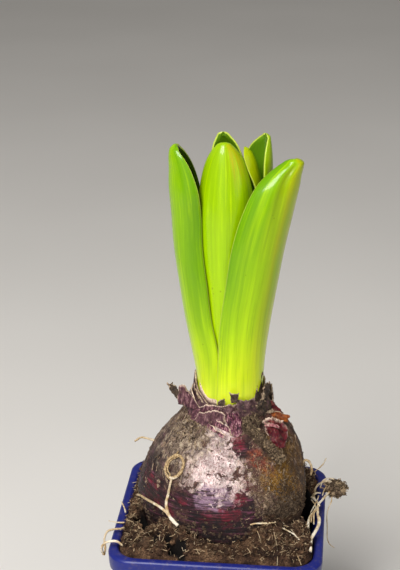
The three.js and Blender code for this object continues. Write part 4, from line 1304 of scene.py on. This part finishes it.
def red_scale(outer, inner):
    sides = (outer, inner)
    sheets = [torn_sheet(sides, seed=seed + 31, **scale) for seed, scale in enumerate(RED_SCALES)]
    obj = joined("crimson_scale", sheets)
    return set_down(smoothed(obj), ["tunic_scale_red"])


# Roots: a strand is its points, its radius at the start and at the end, and how tan it is.
# A free root's point is [x, y, z]. One on the skin is (azimuth, z), or (azimuth, z, how far it stands off).
ROOTS = {
    "root_loop": [
        ([(-43.5, 13.8), (-38.5, 15.2), (-37, 17.4), (-39, 19.6), (-44, 20.6), (-49.6, 19.8), (-53, 17.6),
          (-52, 15.2), (-48.4, 13.8), (-44, 13.4)], 0.44, 0.5, 0.9),
        ([(-45, 13.6), (-41, 14.1), (-38.2, 15.4), (-37.2, 17), (-38, 18.6)], 0.5, 0.24, 0.35),
        ([(-43.5, 14), (-42.8, 10.6), (-42.7, 7.6)], 0.42, 0.44, 0.6),
        ([(-42.7, 8.4), (-42.6, 5.8), (-40.5, 3), (-36.5, 0.8), (-32.1, -0.5)], 0.45, 0.62, 0.0),
        ([(-84, -1.5), (-75, 0.6), (-66, 1.8), (-51.3, 3.1)], 0.4, 0.46, 0.7),
        ([(-55, 2.8), (-51.3, 3.1), (-43, 2.8), (-37, 1.2), (-32.1, -0.6)], 0.44, 0.58, 0.0),
    ],
    "root_hook": [
        ([[26.4, -2.8, 9.6], [27, -2.2, 10.9], [28.2, -2, 11.2], [29.3, -2, 9.9], [29.9, -2, 8],
          [29.7, -2, 5.4]], 0.54, 0.34, 0.7),
    ],
    "root_thread_left": [
        ([[-23.4, 5.1, 14.6], [-26.4, 5.8, 15.4], [-29.4, 6.4, 15.6], [-31.4, 6.4, 14.2]], 0.45, 0.32, 0.5),
    ],
    "root_tuft_right": [
        ([[28.1, -29.2, -8.4], [28.5, -25.2, -7], [29.1, -22.2, -6.6], [30.8, -18.5, -6.5],
          [32.2, -12.9, -6.5], [32, -8.6, -6.5], [32.2, -5.3, -6.5], [32.6, -1.9, -6.5], [34.6, 2.2, -6.5],
          [37.4, 8, -6.8]], 0.44, 0.4, 0.0),
        ([[28.8, -23.4, -6.8], [30.6, -19, -6.4], [32.1, -13.4, -6.4], [32.2, -10, -6.5]], 0.5, 0.62, 0.0),
        ([[32.6, -1.9, -6.5], [31.5, -5.8, -6.4], [29.7, -8.2, -6.8], [28.7, -11.2, -7.2],
          [28.2, -15.3, -7.6]], 0.38, 0.44, 0.0),
        ([[32.8, -2.4, -6.5], [32.4, -0.4, -6.4], [31.5, 2, -6.4], [30.6, 3.2, -6.2]], 0.4, 0.42, 0.0),
        ([[31.5, 2, -6.4], [32, 8, -7.4], [33.1, 11.6, -6.8], [34.3, 12, -5.8], [35.6, 12, -5.2],
          [37, 12, -4.8], [38.4, 11.6, -5.2]], 0.3, 0.56, 0.6),
    ],
    "root_curl_left": [
        ([[-32.6, -13, -8.4], [-36.2, -14.6, -8.4], [-38.5, -15, -8.4], [-40.4, -15, -9.4],
          [-41.3, -16.4, -11.2], [-41, -18.4, -13.4], [-41.2, -21.4, -14.4]], 0.42, 0.34, 0.5),
        ([[-34.6, -24.4, -9], [-36.4, -24, -7.8], [-39.5, -24, -7.7], [-41.4, -23.6, -9.3],
          [-41.9, -22.6, -11.6], [-41.3, -21.6, -14.2]], 0.4, 0.42, 0.1),
    ],
    "root_front": [
        ([(14.8, 2.2, 0.6), (18, 2.5, 0.9), (22, 2.2, 1.3), (27, 1.9, 2.0), (31, 1.6, 2.2)], 0.22, 0.3, 0.15),
    ],
    "root_front_right": [
        ([[18.4, -27, -0.5], [20.2, -27.8, -1.0], [22.6, -27.8, -2.6], [24.6, -28.4, -4.6],
          [26.6, -28, -6.2]], 0.2, 0.28, 0.15),
    ],
}
# Fine roots that only dress the others: points, radius at the start and at the end
FINE_ROOTS = [
    ([[-36.4, 2, -7.4], [-35.3, 0, -8.7], [-34.7, -2, -9.5]], 0.2, 0.26),
    ([[-40.3, -9, -8.6], [-38.6, -9, -9.0], [-36.9, -9, -9.3], [-34.8, -9.2, -9.2]], 0.14, 0.32),
    ([[32.2, 10.4, 0], [33.8, 10, 1.8], [35.1, 10, 3.5], [35.9, 10, 5.4]], 0.16, 0.24),
    ([[22.6, 1.6, 13.6], [23.6, 2, 14.2], [24.8, 2, 13.8], [25.6, 2, 12.9], [25.2, 2, 11.6]], 0.2, 0.24),
    ([[38.2, 9.4, -8.6], [37.9, 6, -9.7], [36.6, 5, -13.1], [36.6, 4, -19.0], [37.4, 4, -25.6],
      [39.4, 4.2, -27.6]], 0.24, 0.18),
    ([[29.6, -6.6, -6.8], [31.2, -3.6, -5.6], [32.4, 0.4, -5.8], [33.2, 4.6, -6.6]], 0.2, 0.24),
    ([[30.2, -14.2, -6.8], [30.6, -9.2, -6], [31.6, -4.4, -5.8], [30.4, 0.4, -5.8]], 0.22, 0.2),
    ([[29.4, -12.4, -7], [30.2, -8.2, -6.2], [31.2, -5.4, -6]], 0.24, 0.2),
    ([[34.2, 10.4, -6.6], [35.6, 12.4, -4.6], [38.2, 12.6, -4.1], [40.2, 11.6, -4.8]], 0.26, 0.2),
    ([[31.4, 6.4, -7.4], [32.6, 7.6, -7.2], [34.2, 8, -7.4]], 0.42, 0.3),
    ([[34.6, 5.2, -6.8], [35.8, 8.6, -6], [37.2, 9.6, -5.2], [39, 9.4, -6]], 0.22, 0.2),
]
# Loose fibres round the loop, on the skin
LOOP_FRAYS = [
    ([(-45, 13.6), (-40.6, 14.8), (-37.8, 16.8), (-37.4, 18.6)], 0.24, 0.2),
    ([(-51.4, 19), (-53.4, 17), (-51.4, 14.8), (-46, 13.4)], 0.34, 0.24),
    ([(-40.4, 20.1), (-47, 20.7), (-51.6, 19), (-53.6, 16.4)], 0.24, 0.34),
    ([(-46.4, 14.8), (-43.2, 12.6), (-42.6, 10.6)], 0.26, 0.18),
    ([(-50.6, 17.4), (-49.4, 15.4), (-46, 14.6)], 0.2, 0.26),
    ([(-45.2, 20.4), (-50.2, 18.2), (-51, 16)], 0.2, 0.28),
    ([(-55.2, 18.8), (-52.6, 18), (-52.4, 16)], 0.2, 0.24),
    ([(-47.6, 21.6), (-49, 19.8), (-51.8, 18.6)], 0.18, 0.24),
]


SKIN_STAND = 0.6  # how far a root's middle stands off the skin that it lies on
FRAY_STAND = 0.7


def rootlet(points, start, end, tan, stand=SKIN_STAND):
    return painted(strand([hand_placed(point, stand) for point in points], start, end), "root_tan", tan)


def roots(finish):
    for name, strands in ROOTS.items():
        pieces = [rootlet(*shape) for shape in strands]
        if name == "root_loop":
            pieces += [rootlet(*shape, 1.0, FRAY_STAND) for shape in LOOP_FRAYS]
        obj = joined(name + "_dry", pieces)
        roughened(obj, 1.2, 0.4, seed=3)
        roughened(obj, 0.4, 0.16, seed=4)
        closed_up(obj, 0.001)
        set_down(smoothed(obj), [name], [finish])
    fine = joined("fine_roots", [rootlet(*shape, 0.3) for shape in FINE_ROOTS])
    roughened(fine, 1.0, 0.2, seed=5)
    set_down(smoothed(fine), [], [finish])


# Soil: fills the pot, heaped against the bulb, crumbly, with open cracks beside it

SOIL_GRID = 190
CRUMB_COUNT = 2400
THREAD_COUNT = 3000
ROOTLET_COUNT = 70
# Height of the soil at the bulb, every 30 degrees
SOIL_CONTACT = [-3.4, 0.4, -1.5, -7, -3, -3, -3, -3, -3.5, -3, -5.5, -1.6]
SOIL_TOP_EDGE = -8.6  # height that it falls to towards the pot's wall
FALL_REACH = (29, 41)  # it falls between these distances from the bulb's axis
BANK_DROP = 0.8  # how far below the pot's rim the soil meets the wall
BANK_SLOPE = 1.9


def contact_height(azimuth):
    """Where the soil meets the bulb."""
    return smooth(SOIL_CONTACT, (azimuth % 360) / 360, True)


def soil_height(x, y):
    contact = contact_height(azimuth_of(x, y))
    out = ease(math.hypot(x, y), *FALL_REACH)
    lumps = 0.7 * math.sin(x * 0.55 + 1) * math.cos(y * 0.5) + 0.45 * math.sin(x * 1.1 - y * 0.9)
    return mix(contact, SOIL_TOP_EDGE, out) + lumps


# Open cracks and holes in the soil: azimuth, half width in degrees, depth, nearest and furthest reach
CRACKS = [(-63, 11, 14, 28, 33.4), (-46, 6, 12, 32.6, 35.4), (-31, 8, 10, 32.2, 34.8), (78, 28, 15, 28, 34.6),
          (46, 8, 8, 28, 32), (150, 20, 5, 28, 33), (-140, 16, 4, 28, 33)]
# Small heaps against the bulb: x, y, reach, rise
HEAPS = [(30.6, 4.6, 3.6, 6.5), (-31.4, 8.1, 3.6, 5.0), (14, -29.5, 6, 2.0), (-20.5, -23.5, 5, 2.2)]


def crack_depth(x, y):
    depth = 0
    ragged_reach = math.hypot(x, y) + 1.3 * noise.noise(Vector((x, y, 0)) * 0.45)
    for azimuth, width, deepest, near, far in CRACKS:
        turn = (azimuth_of(x, y) - azimuth + 180) % 360 - 180
        share = between(ragged_reach, near - 1, near + 0.3, far - 1, far + 0.6)
        depth = max(depth, deepest * share * ease(1 - abs(turn) / width, 0, 0.5))
    return depth


def crumbly(x, y):
    """The soil's height with its clods, hollows, heaps and cracks, and its fall to the pot's wall."""
    place = Vector((x, y, 0))
    clods = noise.fractal(place * 0.16, 1.0, 2.0, 5) * 2.0
    pits = abs(noise.noise(place * 0.5)) * 1.4
    heap = max(rise * ease(math.hypot(x - side, y - back), reach, 0) for side, back, reach, rise in HEAPS)
    height = soil_height(x, y) + clods + 0.4 - pits - crack_depth(x, y) + heap
    spot = POT_FROM_PLANT @ place
    from_wall = square_reach(azimuth_of(spot.x, spot.y), RIM_INNER_HALF - GAP) - math.hypot(spot.x, spot.y)
    bank = POT_HEIGHT - BULB_LIFT - BANK_DROP + BANK_SLOPE * max(from_wall, 0)
    return min(height, bank + 1.2 * noise.noise(place * 0.35))


def square_reach(azimuth, half):
    """Distance from the pot's axis to a rounded square's side."""
    corner = half * CORNER_SHARE
    x, y = (abs(value) for value in toward(azimuth, 1)[:2])
    flat = half / max(x, y)
    straight = half - corner
    if min(x, y) * flat <= straight:
        return flat
    along = straight * (x + y)
    return along + math.sqrt(max(along * along - 2 * straight * straight + corner * corner, 0))


CLEAR_OF_BULB = 100


def under_bulb(radius):
    """Height of the bulb's underside at a radius, or a level over all the soil outside it."""
    for (r0, z0), (r1, z1) in zip(BULB_PROFILE, BULB_PROFILE[1:]):
        if r0 <= radius <= r1:
            return mix(z0, z1, (radius - r0) / (r1 - r0))
    return CLEAR_OF_BULB


def soil_body():
    half = RIM_INNER_HALF - GAP

    def wall_half(z):
        up = clamp((z - POT_FLOOR) / (POT_HEIGHT - EDGE - POT_FLOOR))
        return mix(FOOT_INNER_HALF, RIM_INNER_HALF, up) - GAP

    def spread(u, v):
        flat_x, flat_y = 2 * u - 1, 2 * v - 1
        share = max(abs(flat_x), abs(flat_y))
        azimuth = azimuth_of(flat_x, flat_y) if share else 0
        return azimuth, share, toward(azimuth, square_reach(azimuth, half) * share)

    def crack_shade_tint(u, v):
        """Tint, below 0 down in the cracks, where the soil takes a near-black painted shade."""
        here = PLANT_FROM_POT @ spread(u, v)[2]
        return 0.4 - 1.4 * clamp(crack_depth(here.x, here.y) / 5)

    def place(u, v):
        azimuth, share, spot = spread(u, v)
        here = PLANT_FROM_POT @ Vector((spot.x, spot.y, 0))
        z = min(crumbly(here.x, here.y), under_bulb(math.hypot(here.x, here.y)) - 0.5)
        level = BULB_LIFT + z
        spot = toward(azimuth, square_reach(azimuth, wall_half(min(level, POT_HEIGHT))) * share)
        return Vector((spot.x, spot.y, level))

    obj = painted(shaped_grid("soil", SOIL_GRID, SOIL_GRID, place), "tint", crack_shade_tint)
    with editing(obj):
        bpy.ops.mesh.region_to_loop()
        bpy.ops.mesh.extrude_edges_move()
    floor = POT_FLOOR + GAP
    for corner in obj.data.vertices:
        if corner.select:
            share = wall_half(floor) / wall_half(min(corner.co.z, POT_HEIGHT))
            corner.co = (corner.co.x * share, corner.co.y * share, floor)
    with editing(obj, afresh=False):
        bpy.ops.mesh.edge_face_add()
        bpy.ops.mesh.select_all(action="SELECT")
        bpy.ops.mesh.normals_make_consistent(inside=False)
    return obj


def soil_spots(count, seed, inset, clear=29.4):
    """A draw, and random places on the soil between the bulb and the pot's wall that come from it."""
    draw = random.Random(seed)
    half = RIM_INNER_HALF - inset
    spots = []
    while len(spots) < count:
        x, y = draw.uniform(-half, half), draw.uniform(-half, half)
        here = PLANT_FROM_POT @ Vector((x, y, 0))
        inside = math.hypot(x, y) < square_reach(azimuth_of(x, y), half)
        if inside and math.hypot(here.x, here.y) > clear and crack_depth(here.x, here.y) < 3:
            spots.append(here.xy)
    return draw, spots


def crumbs():
    grains = [grain(seed, 0.5) for seed in range(5)]
    threads = [fibre(seed) for seed in range(5)]
    places = []
    draw, spots = soil_spots(CRUMB_COUNT, 7, 1.4)
    for x, y in spots:
        size = mix(0.25, 1.3, draw.random() ** 3)
        place = Vector((x, y, crumbly(x, y) + size * 0.3))
        crumb = draw.choice(grains)
        places.append((crumb, POT_FROM_PLANT @ tumbled(draw, place, size, 0.8), draw.uniform(0, 0.62)))
    draw, spots = soil_spots(THREAD_COUNT, 8, 1.2)
    for x, y in spots:
        size = mix(0.5, 1.8, draw.random() ** 2)
        place = Vector((x, y, crumbly(x, y) + draw.uniform(0.1, 0.9)))
        turn = Matrix.Rotation(draw.uniform(0, math.tau), 4, "Z")
        tilt = Matrix.Rotation(draw.uniform(-0.6, 0.6), 4, "Y")
        lie = Matrix.Translation(place) @ turn @ tilt @ Matrix.Diagonal((size, size, mix(size, 1, 0.6), 1))
        places.append((draw.choice(threads), POT_FROM_PLANT @ lie, draw.uniform(0.2, 1)))
    return scattered("crumbs", places)


def long_fibres(count, seed):
    """Pale rootlets that lie in the soil."""
    draw, spots = soil_spots(count, seed, 2, clear=30.5)
    pieces = []
    for spot in spots:
        heading = draw.uniform(0, 360)
        length = draw.uniform(2.5, 7)
        x, y = spot
        points = []
        for _ in range(4):
            points.append(Vector((x, y, crumbly(x, y) + draw.uniform(0.2, 1.1))))
            heading += draw.uniform(-50, 50)
            step = toward(heading, length / 3)
            x, y = x + step.x, y + step.y
        pieces.append(strand(points, 0.1, draw.uniform(0.08, 0.18), roundness=0, steps=2))
    return pieces


def soil(finish, pale):
    body = joined("peat_soil", [soil_body()])
    loose = joined("soil_crumbs", [crumbs()])
    for obj, nodes in ((body, ["soil"]), (loose, [])):
        choose(obj)
        bpy.ops.object.shade_flat()
        set_down(obj, nodes, [finish], POT_FRAME)
    threads = painted(joined("soil_threads", long_fibres(ROOTLET_COUNT, 5)), "root_tan", 0.6)
    set_down(threads, [], [pale])


# The matted ridge over the right shoulder: its middle line as azimuth and height, its half width and its rise
RIDGE_LINE = [(17, 32.2), (20, 31), (28, 28.4), (36, 24.6), (42, 21.4), (46, 19)]
RIDGE_HALF_WIDTH = [2.2, 2.6, 2.4, 2.1, 2.0, 1.2]
RIDGE_HEIGHT = [1.2, 2.2, 2.7, 2.9, 2.9, 1.3]


def on_ridge_line(along):
    """Azimuth and height of a point along the ridge's middle line."""
    azimuths, heights = zip(*RIDGE_LINE)
    return smooth(azimuths, along), smooth(heights, along)


def dirt_ridge():
    def place(u, v):
        azimuth, z = on_ridge_line(v)
        off = (2 * u - 1) * smooth(RIDGE_HALF_WIDTH, v)
        here = on_bulb(azimuth, z)
        along = on_bulb(*on_ridge_line(v + 0.05)) - on_bulb(*on_ridge_line(v - 0.05))
        outward = on_bulb(azimuth, z, 1) - here
        aside = along.cross(outward).normalized() * (off + 0.5 * noise.noise(Vector((v * 9, u, 3))))
        spot = here + aside
        crown = 1 - (2 * u - 1) ** 2
        rise = smooth(RIDGE_HEIGHT, v) * crown * (0.75 + 0.7 * noise.noise(spot * 0.7))
        rise += 0.5 * noise.noise(spot * 2.1)
        return on_bulb(azimuth_of(spot.x - neck_shift(spot.z), spot.y), spot.z, rise - 0.15)

    obj = shaped_grid("ridge", 26, 110, place)
    worked(obj, "SOLIDIFY", thickness=0.5, offset=-1)
    return painted(obj, "tint", 0.2)


def clinging_dirt(finish):
    """The strip of dirt on the right shoulder, with crumbs and threads that cling to the rest of the bulb."""
    draw = random.Random(19)
    grains = [grain(seed + 30) for seed in range(4)]
    threads = [fibre(seed + 30) for seed in range(4)]
    places = []

    def cling(azimuth, z, size, lift=0.2, low=0.2, high=0.8):
        place = on_bulb(azimuth, z, lift * size)
        places.append((draw.choice(grains), tumbled(draw, place, size, 0.7), draw.uniform(low, high)))

    def lay(azimuth, z, size, lift=0.15, low=0.1, high=1.0):
        place = on_bulb(azimuth, z, lift)
        outward = (on_bulb(azimuth, z, 1) - on_bulb(azimuth, z)).to_track_quat("Z", "Y").to_matrix().to_4x4()
        spin = Matrix.Rotation(draw.uniform(0, math.tau), 4, "Z")
        matrix = Matrix.Translation(place) @ outward @ spin @ Matrix.Scale(size, 4)
        places.append((draw.choice(threads), matrix, draw.uniform(low, high)))

    def on_ridge():
        azimuth, z = on_ridge_line(draw.random())
        return azimuth + draw.gauss(0, 1.8), z + draw.gauss(0, 0.7)

    for _ in range(620):
        cling(*on_ridge(), draw.uniform(0.2, 0.5), draw.uniform(1.5, 5.0), 0.15, 0.8)
    for _ in range(240):
        lay(*on_ridge(), draw.uniform(0.3, 0.8), draw.uniform(1.2, 3.0), 0.45, 0.9)
    # Threads over the ridge's upper end
    for _ in range(90):
        azimuth, z = draw.gauss(30, 6), draw.gauss(32.5, 1.0)
        lay(azimuth, z, draw.uniform(0.5, 1.3), draw.uniform(0.6, 2.0), 0.3, 0.8)
    # The crust on the left shoulder
    for _ in range(160):
        cling(draw.gauss(-50, 14), draw.gauss(28.5, 2), draw.uniform(0.2, 0.55))
        lay(draw.gauss(-50, 16), draw.gauss(27, 3), draw.uniform(0.3, 0.8))
    # All round, where the soil meets the bulb
    for _ in range(560):
        azimuth = draw.uniform(-180, 180)
        z = contact_height(azimuth) + abs(draw.gauss(0, 2.6))
        cling(azimuth, z, draw.uniform(0.2, 0.75), 0.2, 0.1, 0.5)
    # Threads down the right side
    for _ in range(600):
        lay(draw.gauss(58, 20), draw.uniform(-2, 26), draw.uniform(0.3, 0.8))
    # Crumbs low on the right
    for _ in range(900):
        z = contact_height(35) + abs(draw.gauss(0, 4.5))
        cling(draw.gauss(42, 10), z, draw.uniform(0.15, 0.55), 0.3, 0.1, 0.6)
    # A few all over the bulb
    for _ in range(400):
        lay(draw.uniform(-180, 180), draw.uniform(-4, 31), draw.uniform(0.25, 0.6))
        cling(draw.uniform(-180, 180), draw.uniform(0, 31), draw.uniform(0.1, 0.3), 0.0)
    obj = joined("clinging_dirt", [dirt_ridge(), scattered("crumbs", places)])
    return set_down(obj, ["dirt_strip"], [finish])


CLOD_CENTRE = Vector((39.7, 10.6, -7))
CLOD_SIZE = Vector((3.3, 3.2, 2.3))


def clod(finish):
    choose()
    bpy.ops.mesh.primitive_ico_sphere_add(subdivisions=5, radius=1)
    lump = bpy.context.object
    for corner in lump.data.vertices:
        corner.co = CLOD_CENTRE + corner.co * CLOD_SIZE
    roughened(lump, 2.4, 3.4, seed=1)
    roughened(lump, 0.7, 0.8, seed=2)
    painted(lump, "tint", 0.5)
    draw = random.Random(4)
    grains = [grain(seed + 50) for seed in range(3)]
    threads = [fibre(seed + 50) for seed in range(3)]
    places = []
    for k in range(260):
        way = Vector([draw.gauss(0, 1) for _ in range(3)]).normalized()
        spot = CLOD_CENTRE + way * CLOD_SIZE * draw.uniform(0.85, 1.25)
        shapes, sizes, tints = (grains, (0.25, 0.8), (0.2, 0.9)) if k % 2 else (threads, (0.7, 1.6), (0.6, 1))
        shape = draw.choice(shapes)
        places.append((shape, tumbled(draw, spot, draw.uniform(*sizes)), draw.uniform(*tints)))
    obj = joined("hanging_clod", [lump, scattered("clod_crumbs", places)])
    return set_down(obj, ["clod_right"], [finish])


# Studio

CAMERA_AT = Vector((-8.7, -458.9, 261.0))  # in the plant's frame
CAMERA_DIP = 22  # degrees below level
PHOTO_HEIGHT = 570
FOCAL_PIXELS = 1500
SENSOR = 36
FLOOR_SIZE = 12
LAMP_AIM = Vector((0, 0, 0.12))  # just over the bulb's neck; the floor and the lamps are set in metres
SOFTBOXES = {  # azimuth, elevation, distance, width and power
    "key": (-24, 52, 0.9, 0.4, 10.0),
    "fill": (60, 25, 1.2, 0.9, 2.4),
    "front": (-10, 12, 1.3, 0.9, 1.6),
}


def camera():
    lens = bpy.data.cameras.new("camera")
    lens.sensor_fit = "VERTICAL"
    lens.sensor_height = SENSOR
    lens.lens = SENSOR * FOCAL_PIXELS / PHOTO_HEIGHT
    obj = added("camera", lens)
    obj.location = PLANT_FRAME @ CAMERA_AT
    obj.rotation_euler = (math.radians(90 - CAMERA_DIP), 0, math.radians(PLANT_TURN))
    bpy.context.scene.camera = obj


def softbox(name, azimuth, elevation, distance, size, power):
    """A square lamp that looks at the plant."""
    lamp = bpy.data.lights.new(name, "AREA")
    lamp.size = size
    lamp.energy = power
    obj = added(name, lamp)
    away = toward(azimuth, math.cos(math.radians(elevation)), 0, 0, math.sin(math.radians(elevation)))
    obj.location = LAMP_AIM + away * distance
    obj.rotation_euler = away.to_track_quat("Z", "Y").to_euler()


def studio():
    choose()
    bpy.ops.mesh.primitive_plane_add(size=FLOOR_SIZE)
    floor = bpy.context.object
    floor.name = floor.data.name = "floor"
    paper = Finish("floor_paper", roughness=0.85, specular_ior_level=0.2)
    soft = paper.noise(paper.place(), 0.004, detail=2)
    finished(floor, paper.done(paper.ramp(soft, (0.3, (226, 222, 216)), (0.7, (232, 228, 222)))))
    world = bpy.data.worlds.new("studio")
    world.use_nodes = True
    background = world.node_tree.nodes["Background"].inputs
    background["Color"].default_value = (1, 0.98, 0.95, 1)
    background["Strength"].default_value = 0.2
    bpy.context.scene.world = world
    for name, settings in SOFTBOXES.items():
        softbox(name, *settings)
    bpy.context.scene.view_settings.view_transform = "Standard"


# The whole plant

camera()
choose()
pot(pot_plastic())
bulb(bulb_skin())
leaf_outside = leaf_green("leaf_outside")
leaf_inside = leaf_green("leaf_inside", inner=True)
for seed, name in enumerate(LEAVES):
    leaf(name, seed, leaf_outside, leaf_inside)
flower_spike(bud_green())
rose = ((34, 8, 20), (98, 36, 62), (206, 158, 160))
sand = ((112, 88, 72), (176, 152, 126), (222, 204, 172))
purple = papery("papery_purple", (36, 22, 24), (72, 44, 50), (122, 94, 90), rose,
                warm=((24, 17, 14), (78, 62, 48)))
cream = papery("papery_cream", *sand, sand)
crimson = papery("papery_crimson", (48, 4, 14), (88, 12, 26), (128, 40, 44),
                 ((140, 60, 76), (192, 132, 132), (226, 198, 182)),
                 warm=((96, 40, 12), (186, 98, 26)), gloss=0.35)
tan = papery("papery_tan", (92, 74, 60), (142, 120, 98), (188, 166, 136), rose)
tunic_collar(purple, cream)
skin_flakes(tan, cream)
red_scale(crimson, cream)
dry = dried_root()
roots(dry)
earth = peat()
dust = peat("dry_dirt", pale=0.8)
soil(earth, dry)
clinging_dirt(dust)
clod(dust)
studio()
